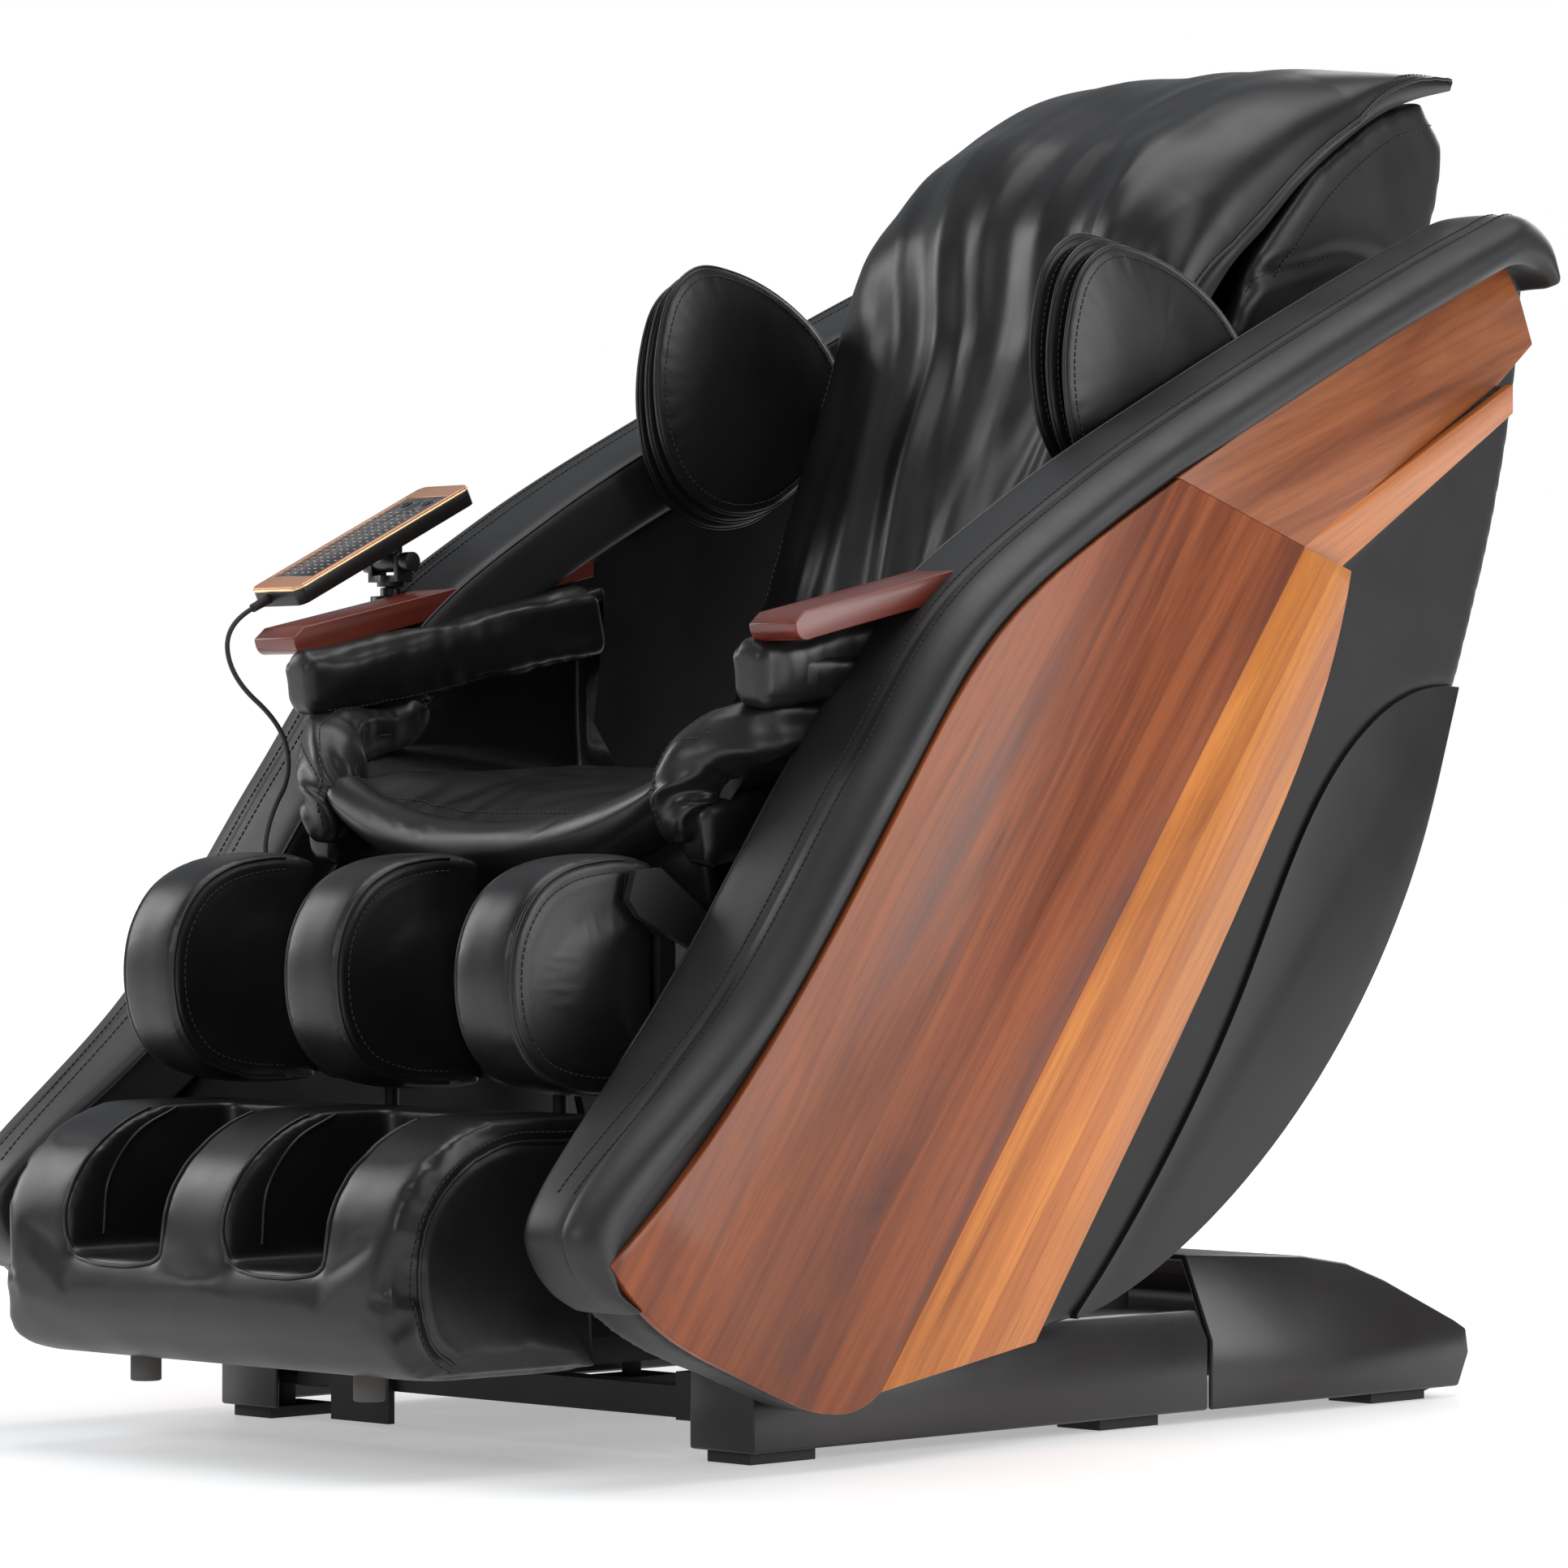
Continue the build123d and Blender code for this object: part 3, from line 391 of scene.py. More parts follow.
def smooth_line(points, count):
    """count points, evenly spaced, on a smooth line through the given ones."""
    known = np.array(points, float)
    knots = np.concatenate([[0], np.cumsum(np.linalg.norm(np.diff(known, axis=0), axis=1) ** 0.5)])
    ahead = 2 * known[0] - known[1]
    after = 2 * known[-1] - known[-2]
    padded = np.vstack([ahead, known, after])
    times = np.concatenate([[-(knots[1] - knots[0])], knots, [2 * knots[-1] - knots[-2]]])
    dense = []
    for i in range(1, len(padded) - 2):
        t0, t1, t2, t3 = times[i - 1:i + 3]
        p0, p1, p2, p3 = padded[i - 1:i + 3]
        for t in np.linspace(t1, t2, STEPS_PER_SPAN, endpoint=i == len(padded) - 3):
            a1 = (t1 - t) / (t1 - t0) * p0 + (t - t0) / (t1 - t0) * p1
            a2 = (t2 - t) / (t2 - t1) * p1 + (t - t1) / (t2 - t1) * p2
            a3 = (t3 - t) / (t3 - t2) * p2 + (t - t2) / (t3 - t2) * p3
            b1 = (t2 - t) / (t2 - t0) * a1 + (t - t0) / (t2 - t0) * a2
            b2 = (t3 - t) / (t3 - t1) * a2 + (t - t1) / (t3 - t1) * a3
            dense.append((t2 - t) / (t2 - t1) * b1 + (t - t1) / (t2 - t1) * b2)
    return even_line(np.array(dense), count)


def even_line(points, count):
    points = np.array(points, float)
    along = np.concatenate([[0], np.cumsum(np.linalg.norm(np.diff(points, axis=0), axis=1))])
    at = np.linspace(0, along[-1], count)
    return np.stack([np.interp(at, along, points[:, k]) for k in range(points.shape[1])], axis=1)


def len_of(line):
    return float(np.linalg.norm(np.diff(np.array(line, float), axis=0), axis=1).sum())


def directions(line):
    """The unit direction of a line at each of its points."""
    ahead = np.gradient(line, axis=0)
    return ahead / np.linalg.norm(ahead, axis=1, keepdims=True)


# %% Helpers: meshes
def loft(name, rings, finish):
    """A closed skin through rings, each with the same number of points, with a fan at each end."""
    count, size = len(rings), len(rings[0])
    vertices = [tuple(p) for ring in rings for p in ring]
    pairs = [(j, (j + 1) % size) for j in range(size)]
    faces = [(i * size + j, i * size + k, (i + 1) * size + k, (i + 1) * size + j)
             for i in range(count - 1) for j, k in pairs]
    for row in (0, count - 1):
        hub = len(vertices)
        vertices.append(tuple(np.mean(np.array(rings[row], float), axis=0)))
        for j, k in pairs:
            first, second = (k, j) if row == 0 else (j, k)
            faces.append((row * size + first, row * size + second, hub))
    mesh = bpy.data.meshes.new(name)
    mesh.from_pydata(vertices, [], faces)
    mesh.validate()
    mesh.shade_smooth()
    mesh.materials.append(finish)
    work = bmesh.new()
    work.from_mesh(mesh)
    bmesh.ops.remove_doubles(work, verts=work.verts, dist=1e-6)
    bmesh.ops.recalc_face_normals(work, faces=work.faces)
    work.to_mesh(mesh)
    work.free()
    mesh.update()
    return shown(name, mesh)


def of_vertices(mesh, key):
    values = np.empty(len(mesh.vertices) * 3)
    mesh.vertices.foreach_get(key, values)
    return values.reshape(-1, 3)


def points_of(piece):
    return of_vertices(piece.data, "co")


def set_points(piece, points):
    piece.data.vertices.foreach_set("co", np.asarray(points, float).ravel())
    piece.data.update()


def bake(piece):
    """Turn the piece's modifiers into its own mesh."""
    graph = bpy.context.evaluated_depsgraph_get()
    graph.update()
    mesh = bpy.data.meshes.new_from_object(piece.evaluated_get(graph))
    piece.modifiers.clear()
    old, piece.data = piece.data, mesh
    mesh.name = piece.name
    bpy.data.meshes.remove(old)
    return piece


def modified(piece, kind, **values):
    """Apply one modifier with these settings."""
    step = piece.modifiers.new(kind.lower(), kind)
    for key, value in values.items():
        setattr(step, key, value)
    return bake(piece)


def evened(piece, voxel, finish):
    """Give the piece a mesh of even faces."""
    modified(piece, "REMESH", mode="VOXEL", voxel_size=voxel)
    piece.data.materials.clear()
    piece.data.materials.append(finish)
    return piece


def refined(piece):
    modified(piece, "SUBSURF", levels=1, render_levels=1)
    piece.data.shade_smooth()
    return piece


def mirrored(piece, name):
    """The same piece for the sitter's other side."""
    made = shown(name, piece.data.copy())
    set_points(made, points_of(made) * (-1, 1, 1))
    made.data.flip_normals()
    return made


# %% Helpers: copies of solids
FLAT_WITHIN, SHARP_OVER = math.radians(0.6), math.radians(40)
SAME_SPOT = 2e-6


def copy_of(name, solids, flat_within=None):
    """The solids' own faces as one mesh, with their corners merged."""
    work = bmesh.new()
    for node in solids:
        work.from_mesh(NODES[node].data)
    bmesh.ops.remove_doubles(work, verts=work.verts, dist=SAME_SPOT)
    if flat_within:
        bmesh.ops.dissolve_limit(work, angle_limit=flat_within, verts=work.verts, edges=work.edges)
    mesh = bpy.data.meshes.new(name)
    work.to_mesh(mesh)
    work.free()
    return shown(name, mesh)


def dressed_copy(name, node, finish, ease, segments=2, angle=32):
    """A hard solid's copy with merged corners and eased edges."""
    made = copy_of(name, [node], FLAT_WITHIN)
    made.data.materials.append(finish)
    modified(made, "BEVEL", width=ease, segments=segments, limit_method="ANGLE",
             angle_limit=math.radians(angle), harden_normals=False)
    made.data.shade_smooth()
    made.data.set_sharp_from_angle(angle=SHARP_OVER)
    return made


def soft_copy(name, node, finish, voxel, relax):
    """An even, rounded mesh over a solid."""
    made = evened(copy_of(name, [node]), voxel, finish)
    modified(made, "SMOOTH", factor=0.5, iterations=relax)
    made.data.shade_smooth()
    return made


# %% Helpers: cloth
CLOTH_FRAMES, CLOTH_STIFFNESS = 20, 18
HELD_FROM = 0.01


def inflate(piece, pressure, cap, held, growth):
    """Blow the piece up as cloth, no point further than cap. held is how firmly it is sewn, 0 to 1."""
    before = points_of(piece)
    cloth = piece.modifiers.new("blown", "CLOTH")
    rules = cloth.settings
    rules.quality = 4
    rules.mass = 0.3
    rules.tension_stiffness = rules.compression_stiffness = CLOTH_STIFFNESS
    rules.shear_stiffness = CLOTH_STIFFNESS * 0.4
    rules.bending_stiffness = 0.6
    rules.use_pressure = True
    rules.uniform_pressure_force = pressure
    rules.effector_weights.gravity = 0
    rules.shrink_min = -growth
    cloth.collision_settings.use_collision = False
    group = piece.vertex_groups.new(name="sewn")
    for index, weight in enumerate(held):
        if weight > HELD_FROM:
            group.add([index], float(min(1, weight)), "REPLACE")
    rules.vertex_group_mass = "sewn"
    cloth.point_cache.frame_start, cloth.point_cache.frame_end = 1, CLOTH_FRAMES
    for number in range(1, CLOTH_FRAMES + 1):
        bpy.context.scene.frame_set(number)
    move = of_vertices(piece.evaluated_get(bpy.context.evaluated_depsgraph_get()).data, "co") - before
    piece.modifiers.clear()
    far = np.linalg.norm(move, axis=1, keepdims=True)
    move *= np.minimum(1, cap / np.maximum(far, 1e-9))
    set_points(piece, before + move)
    bpy.context.scene.frame_set(1)
    piece.vertex_groups.clear()


# %% Helpers: seams
SINK_STEP, LAID_STEP = 0.002, 0.004
SHOULDER_SHARE, SHOULDER_AT, SHOULDER_WIDTH = 0.28, 2.0, 0.9


def nearest_gap(points, line):
    """How far each point is from a line of points."""
    tree = KDTree(len(line))
    for index, place in enumerate(line):
        tree.insert(place, index)
    tree.balance()
    return np.array([tree.find(p)[2] for p in points])


def sink(piece, line, depth, width):
    """Press a seam into the skin, with a soft shoulder beside it."""
    points, normals = points_of(piece), of_vertices(piece.data, "normal")
    fine = even_line(line, max(2, int(len_of(line) / SINK_STEP)))
    low, high = fine.min(0) - 4 * width, fine.max(0) + 4 * width
    near = np.flatnonzero(((points > low) & (points < high)).all(1))
    gap = nearest_gap(points[near], fine) / width
    press = np.exp(-gap ** 2) - SHOULDER_SHARE * np.exp(-((gap - SHOULDER_AT) / SHOULDER_WIDTH) ** 2)
    points[near] -= normals[near] * (press * depth)[:, None]
    set_points(piece, points)


def laid_on(piece, line, lift):
    """Lay a line of points on the skin of a piece."""
    skin = BVHTree.FromObject(piece, bpy.context.evaluated_depsgraph_get())
    made = []
    for place in even_line(line, max(3, int(len_of(line) / LAID_STEP))):
        spot, normal, _, _ = skin.find_nearest(Vector(place))
        made.append(tuple(spot + normal * lift))
    return made


# %% [markdown]
# ## Stitches and welts by Geometry Nodes
# A stitch is a short thread that repeats along a seam, and a welt is a round cord under
# leather that follows one.  Both are rules, so a node tree makes them: the line becomes a
# curve, the curve is divided evenly, and each division gets its thread.


# %% The two seam trees
def seam_tree(name, pitch, numbers):
    """What both trees share: lines divided by the pitch, and a finish on what stands on them."""
    made = bpy.data.node_groups.new(name, "GeometryNodeTree")
    made.interface.new_socket("Geometry", in_out="INPUT", socket_type="NodeSocketGeometry")
    for key, value in numbers.items():
        socket = made.interface.new_socket(key, in_out="INPUT", socket_type="NodeSocketFloat")
        socket.default_value = value
    made.interface.new_socket("Finish", in_out="INPUT", socket_type="NodeSocketMaterial")
    made.interface.new_socket("Geometry", in_out="OUTPUT", socket_type="NodeSocketGeometry")
    start, end, line, divide, real, smooth, finish = (made.nodes.new(kind) for kind in (
        "NodeGroupInput", "NodeGroupOutput", "GeometryNodeMeshToCurve", "GeometryNodeResampleCurve",
        "GeometryNodeRealizeInstances", "GeometryNodeSetShadeSmooth", "GeometryNodeSetMaterial"))
    divide.mode = "LENGTH"
    link_all(made, (start.outputs["Geometry"], line.inputs["Mesh"]),
             (line.outputs[0], divide.inputs["Curve"]), (start.outputs[pitch], divide.inputs["Length"]),
             (real.outputs[0], smooth.inputs[0]), (smooth.outputs[0], finish.inputs["Geometry"]),
             (start.outputs["Finish"], finish.inputs["Material"]), (finish.outputs[0], end.inputs[0]))
    return made, start, divide.outputs[0], real.inputs[0]


def link_all(tree, *pairs):
    for output, into in pairs:
        tree.links.new(output, into)


def stitch_tree():
    made, start, divided, result = seam_tree(
        "stitches", "Spacing", {"Spacing": 0.006, "Thread radius": 0.0006, "Stitch length": 0.0042})
    thread, tangent, turn, place = (made.nodes.new(kind) for kind in (
        "GeometryNodeMeshCylinder", "GeometryNodeInputTangent", "FunctionNodeAlignRotationToVector",
        "GeometryNodeInstanceOnPoints"))
    thread.inputs["Vertices"].default_value = 6
    turn.axis = "Z"
    link_all(made, (start.outputs["Thread radius"], thread.inputs["Radius"]),
             (start.outputs["Stitch length"], thread.inputs["Depth"]),
             (tangent.outputs[0], turn.inputs["Vector"]),
             (divided, place.inputs["Points"]), (thread.outputs["Mesh"], place.inputs["Instance"]),
             (turn.outputs[0], place.inputs["Rotation"]), (place.outputs[0], result))
    return made


def welt_tree():
    made, start, divided, result = seam_tree("welts", "Step", {"Radius": 0.0022, "Step": 0.006})
    ring = made.nodes.new("GeometryNodeCurvePrimitiveCircle")
    sweep = made.nodes.new("GeometryNodeCurveToMesh")
    ring.inputs["Resolution"].default_value = 8
    sweep.inputs["Fill Caps"].default_value = True
    link_all(made, (start.outputs["Radius"], ring.inputs["Radius"]), (divided, sweep.inputs["Curve"]),
             (ring.outputs[0], sweep.inputs["Profile Curve"]), (sweep.outputs[0], result))
    return made


STITCHES, WELTS = stitch_tree(), welt_tree()


def grow(tree, name, lines, finish, **numbers):
    """Run a tree on lines of points and keep the result as a plain mesh."""
    vertices, edges = [], []
    for line in lines:
        first = len(vertices)
        vertices += [tuple(p) for p in line]
        edges += [(first + i, first + i + 1) for i in range(len(line) - 1)]
    mesh = bpy.data.meshes.new(name)
    mesh.from_pydata(vertices, edges, [])
    made = shown(name, mesh)
    step = made.modifiers.new(name, "NODES")
    step.node_group = tree
    for item in tree.interface.items_tree:
        if item.in_out == "INPUT" and item.name in numbers:
            step[item.identifier] = numbers[item.name]
        if item.in_out == "INPUT" and item.name == "Finish":
            step[item.identifier] = finish
    bake(made)
    if not made.data.materials:
        made.data.materials.append(finish)
    return made


stitch_lines, welt_lines = {}, {}


def stitch(body, line):
    stitch_lines.setdefault(body, []).append(line)


def welt(body, line):
    welt_lines.setdefault(body, []).append(line)


def ride(piece, body, slot, *solids, fill=None):
    """Every finished piece: its body and what it stands for. slot and fill are not used."""
    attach(piece, body)
    if solids:
        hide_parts(*solids)
    print(piece.name, len(piece.data.polygons), "faces on", body)


print("trees", [t.name for t in bpy.data.node_groups])

# %% [markdown]
# ## Side shells
# A padded band runs up the front edge of each shell.  Its outer half is a round roll beside
# the wood, then a double-stitched seam, then a flat panel that turns into the cabin.  A loft
# suits it: one cross-section carried along the band's two edges.

# %% The band's two edges, seen from the side (y, z)
BAND_OUTER = [(-0.560, 0.136), (-0.590, 0.152), (-0.613, 0.176), (-0.618, 0.204), (-0.427, 0.383),
              (-0.283, 0.569), (-0.173, 0.701), (-0.017, 0.804), (0.215, 0.921), (0.526, 1.060),
              (0.578, 1.077), (0.608, 1.060), (0.617, 1.022)]
BAND_INNER = [(-0.548, 0.140), (-0.556, 0.146), (-0.562, 0.152), (-0.570, 0.160), (-0.382, 0.337),
              (-0.232, 0.527), (-0.131, 0.651), (0.014, 0.745), (0.243, 0.858), (0.546, 0.996),
              (0.568, 1.004), (0.582, 1.004), (0.592, 0.998)]
# One cross-section: (x, share of the way from the inner edge to the outer edge).
BAND_SECTION = [(0.357, 0.03), (0.357, 0.43), (0.386, 0.45), (0.3925, 0.44), (0.3955, 0.47), (0.4005, 0.53),
                (0.4020, 0.62), (0.4005, 0.74), (0.3955, 0.85), (0.387, 0.93), (0.376, 0.985), (0.366, 1.003),
                (0.3605, 1.000), (0.3575, 0.985), (0.3545, 1.000), (0.349, 1.010), (0.338, 1.014),
                (0.322, 1.016), (0.306, 1.012), (0.294, 1.000), (0.287, 0.972), (0.2825, 0.925),
                (0.2812, 0.85), (0.2812, 0.70), (0.2812, 0.52), (0.2812, 0.34), (0.2812, 0.18),
                (0.283, 0.08), (0.288, 0.03), (0.300, 0.0), (0.330, 0.0)]
TUCKED = 6                                  # the section's first points lie under the wood's edge
TUCK_BELOW, TUCK_OVER, TUCK = 0.80, 0.10, 0.78
TAPER_BELOW, TAPER_OVER, TAPER = 0.40, 0.24, 0.048      # the band narrows towards its foot
BAND_SIDE, BAND_WIDTH = 0.402, 0.121
STITCH_ROWS = ((0.3665, 1.012), (0.3485, 1.020))
WELT_ROW = (0.2835, 0.955)


def band_point(outer, inner, x, share):
    return (x, *(inner + (outer - inner) * share))


def ramped(value, below, over):
    """0 above a height, rising to 1 over a distance below it."""
    return min(1.0, max(0.0, (below - value) / over))


def make_band():
    outer, inner = smooth_line(BAND_OUTER, 300), smooth_line(BAND_INNER, 300)
    section = even_line(BAND_SECTION[:2], 4).tolist() + BAND_SECTION[2:]
    rings = []
    for spot, behind in zip(outer, inner):
        tuck = ramped(spot[1], TUCK_BELOW, TUCK_OVER)
        low = ramped(spot[1], TAPER_BELOW, TAPER_OVER)
        narrow = TAPER * low * low * (3 - 2 * low)
        ring = [band_point(spot, behind, x, share * (1 - TUCK * tuck) if k < TUCKED else share)
                for k, (x, share) in enumerate(section)]
        rings.append([(x + narrow * (BAND_SIDE - x) / BAND_WIDTH, y, z) for x, y, z in ring])
    made = refined(loft("shell_band_left", rings, MATT_LEATHER_WITH_PAINTED_SHEEN))
    lines = [[band_point(o, i, *row) for o, i in zip(outer[24:288], inner[24:288])] for row in STITCH_ROWS]
    edge = [band_point(o, i, *WELT_ROW) for o, i in zip(outer[20:284], inner[20:284])]
    return made, lines, edge


band_left, band_stitches, band_edge = make_band()
band_right = mirrored(band_left, "shell_band_right")
for side, piece in (("left", band_left), ("right", band_right)):
    ride(piece, "seat", "black_leather", f"shell_bolster_{side}", fill=0.8)
    for row in band_stitches:
        stitch("seat", np.array(laid_on(band_left, row, 0.0004)) * (SIDES[side], 1, 1))
    welt("seat", np.array(laid_on(band_left, band_edge, 0.0)) * (SIDES[side], 1, 1))

# %% [markdown]
# The shell behind the band is a thin padded body over a hard core.  It is a soft copy of its
# solid: the even mesh rounds every edge the way leather does over foam.

# %% Shell bodies and their rear covers
for side in SIDES:
    shell = soft_copy(f"shell_body_{side}", f"shell_core_{side}", SHELL_LEATHER, 0.006, 5)
    ride(shell, "seat", "black_plastic", f"shell_core_{side}", fill=0.9)
    cover = dressed_copy(f"shell_back_{side}", f"shell_rear_cover_{side}", SATIN_PLASTIC, 0.0035, 3)
    ride(cover, "seat", "black_plastic", f"shell_rear_cover_{side}")

# %% [markdown]
# ## Wood
# Three veneered pieces lie against each shell: the big panel, the cap above it and the amber
# strip, whose upper part turns away at a fold.  They are right as solids, so each gets a
# dressed copy: merged, with its edges eased by a millimetre.

# %% Boards and armrests
BOARDS = (("panel", PANEL_WOOD, "red_brown_wood"), ("cap", CAP_WOOD_PAINTED_LIGHT, "red_brown_wood"),
          ("strip", AMBER_WOOD, "amber_wood"))
FOLD = ((0.245, 0.763), (0.328, 0.745))     # two points (y, z) of the strip's fold
for side in SIDES:
    for kind, finish, slot in BOARDS:
        board = dressed_copy(f"{kind}_board_{side}", f"wood_{kind}_{side}", finish, 0.0011, 2)
        if kind == "strip":
            board.data.materials.append(BEVEL_WOOD)
            (y0, z0), (y1, z1) = FOLD
            for face in board.data.polygons:
                y, z = face.center.yz
                face.material_index = 1 if (y - y0) * (z1 - z0) - (z - z0) * (y1 - y0) < 0 else 0
        ride(board, "seat", slot, f"wood_{kind}_{side}")
    rest = dressed_copy(f"armrest_board_{side}", f"armrest_{side}", CHERRY_WOOD, 0.0065, 5, 28)
    ride(rest, "seat", "cherry_wood", f"armrest_{side}")

# %% [markdown]
# ## Leg rest
# Three D-shaped lobes stand between and beside the calves.  A band of leather wraps the edge
# of each D and its flat sides are crowned panels, joined to the band by a welted seam.  The
# form is lofted ring by ring and then blown up as cloth with the seams held down.

# %% Calf lobes
LOBE_EDGE = [(-0.388, 0.300), (-0.430, 0.299), (-0.475, 0.302), (-0.520, 0.318), (-0.546, 0.350),
             (-0.555, 0.394), (-0.548, 0.435), (-0.524, 0.470), (-0.488, 0.490), (-0.440, 0.498),
             (-0.410, 0.497), (-0.388, 0.492)]
LOBE_HEART = np.array((-0.452, 0.396))
LOBE_HALF, LOBE_CROWN, LOBE_ROUND = 0.0335, 0.0045, 0.010
LOBE_BACK = -0.398
CALF_PITCH = 0.209


def drawn_in(outline, inset, shrink=0.0):
    """The lobe's outline, moved towards its heart by a length and by a share."""
    away = outline - LOBE_HEART
    size = np.linalg.norm(away, axis=1, keepdims=True)
    return outline - away / size * inset - away * shrink


def make_lobe():
    edge = smooth_line(LOBE_EDGE, 150)
    back = even_line([edge[-1], edge[0]], 40)[1:-1]
    outline = np.vstack([edge, back])
    rings = []

    def ring(x, inset, shrink=0.0):
        rings.append([(x, *p) for p in drawn_in(outline, inset, shrink)])

    def flat_side(sign, shares):
        for share in shares:
            side = math.cos(share * math.pi / 2)
            ring(sign * (LOBE_HALF + LOBE_CROWN * (1 - share ** 2.5)), LOBE_ROUND * (1 - side), 0.93 * side)

    flat_side(-1, np.linspace(0, 1, 19))
    for share in np.linspace(-1, 1, 21):
        ring(share * LOBE_HALF, 0.0035 * share ** 4 + 0.0015)
    flat_side(1, np.linspace(1, 0, 19))
    return evened(loft("calf_lobe_middle", rings, LEATHER), 0.0032, LEATHER), edge


lobe, lobe_edge = make_lobe()
spots = points_of(lobe)
seam_hold = np.exp(-((np.abs(np.abs(spots[:, 0]) - LOBE_HALF)) / 0.0022) ** 2)
back_hold = (spots[:, 1] > LOBE_BACK).astype(float)
inflate(lobe, 5.5, 0.008, np.maximum(seam_hold, back_hold), 0.003)


def lobe_rim(x, inset):
    return [(x, *p) for p in drawn_in(lobe_edge, inset)]


for sign in (-1, 1):
    sink(lobe, lobe_rim(sign * LOBE_HALF, 0.004)[8:-8], 0.0018, 0.003)
    sink(lobe, lobe_rim(sign * 0.0375, 0.016)[8:-8], 0.0014, 0.003)
modified(lobe, "SMOOTH", factor=0.5, iterations=4)
refined(lobe)
lobe_seams = [(sew, laid_on(lobe, lobe_rim(sign * x, inset)[12:-12], 0.0004))
              for sign in (-1, 1) for sew, x, inset in ((welt, LOBE_HALF, 0.004), (stitch, 0.0385, 0.016))]
for name, x in (("calf_lobe_middle", 0), ("calf_lobe_left", CALF_PITCH), ("calf_lobe_right", -CALF_PITCH)):
    made = lobe if x == 0 else shown(name, lobe.data.copy())
    if x:
        set_points(made, points_of(lobe) + (x, 0, 0))
    ride(made, "calf_unit", "black_leather", *(["calf_pads"] if x == 0 else []), fill=0.8)
    for sew, row in lobe_seams:
        sew("calf_unit", np.array(row) + (x, 0, 0))

# %% Rest pads behind the calves
REST_WIDTH, REST_HEIGHT = 0.0665, 0.072
REST_X, REST_Z = 0.1045, 0.373
REST_DEPTHS = ((0.02, -0.412), (0.35, -0.4115), (0.62, -0.410), (0.82, -0.407), (0.93, -0.402),
               (0.985, -0.395), (0.985, -0.3868), (0.6, -0.3862), (0.02, -0.3862))
corners = [(abs(c) ** 0.28 * np.sign(c), abs(s) ** 0.28 * np.sign(s)) for c, s in (
    (math.cos(t), math.sin(t)) for t in np.linspace(0, 2 * math.pi, 72, endpoint=False))]
for side, sign in SIDES.items():
    rings = [[(sign * REST_X + x * REST_WIDTH * share, depth, REST_Z + z * REST_HEIGHT * share)
              for x, z in corners] for share, depth in REST_DEPTHS]
    ride(refined(loft(f"calf_rest_{side}", rings, LEATHER)), "calf_unit", "black_leather", fill=0.6)

# %% Foot unit
FOOT_EDGE = [(-0.612, 0.090), (-0.640, 0.110), (-0.652, 0.150), (-0.645, 0.205), (-0.612, 0.243),
             (-0.556, 0.2655), (-0.500, 0.2665), (-0.462, 0.2665)]
FOOT_SIDE, FOOT_SEAM = 0.2435, 0.247
WELL_IN, WELL_OUT = 0.042, 0.160            # the two walls of a foot well
HALF_RIM = [(0.006, -0.585, 0.289), (0.005, -0.640, 0.262), (0.005, -0.668, 0.225), (0.003, -0.680, 0.188),
            (-0.012, -0.682, 0.168), (-0.034, -0.682, 0.161)]
WELL_RIM = ([(WELL_IN - out, y, z) for out, y, z in HALF_RIM] + [((WELL_IN + WELL_OUT) / 2, -0.682, 0.160)]
            + [(WELL_OUT + out, y, z) for out, y, z in HALF_RIM[::-1]])
WELL_CORNER = [(-0.640, 0.180), (-0.634, 0.225), (-0.605, 0.262), (-0.56, 0.283)]

foot = soft_copy("foot_cushion", "foot_pad", LEATHER, 0.005, 9)
spots = points_of(foot)
inner = (spots[:, 1] > -0.64) & (np.abs(spots[:, 0]) < 0.222)
side_seam = np.exp(-((np.abs(spots[:, 0]) - FOOT_SIDE) / 0.003) ** 2) * (spots[:, 2] > 0.27)
inflate(foot, 2.2, 0.004, np.maximum(np.where(inner, 0.9, 0.0), side_seam), 0.0)
foot_rim = smooth_line(FOOT_EDGE, 150)
for sign in (-1, 1):
    rim = laid_on(foot, [(sign * FOOT_SEAM, *p) for p in foot_rim], 0.0)
    sink(foot, rim, 0.0022, 0.0035)
    welt("foot_unit", laid_on(foot, rim, 0.0006))
    beside = [(p[0], (p[1] + 0.55) * 1.07 - 0.55, (p[2] - 0.17) * 1.075 + 0.17) for p in rim]
    stitch("foot_unit", laid_on(foot, beside, 0.0004))
for sign in (-1, 1):
    rim = laid_on(foot, [(sign * x, y, z) for x, y, z in smooth_line(WELL_RIM, 160)], 0.0)
    welt("foot_unit", laid_on(foot, rim, 0.0006))
    for x in (WELL_IN, WELL_OUT):
        corner = smooth_line([(sign * x, y, z) for y, z in WELL_CORNER], 40)
        welt("foot_unit", laid_on(foot, corner, 0.0006))
refined(foot)
ride(foot, "foot_unit", "black_leather", "foot_pad", fill=0.8)

# %% [markdown]
# ## Seat
# The seat ends in a crescent roll: thick in the middle, thin where it runs up to the arms.
# Its cross-section changes smoothly along x, so it is a loft again, blown up afterwards with
# the seam behind the roll held down.

# %% Seat cushion
SEAT_HALF = 0.2135
SEAT_FRONT, SEAT_BEND, BEND_POWER = -0.370, 0.016, 2.4
SEAM_BACK = 0.043                           # how far the seam lies behind the front of the roll
SEAT_SECTIONS = 72


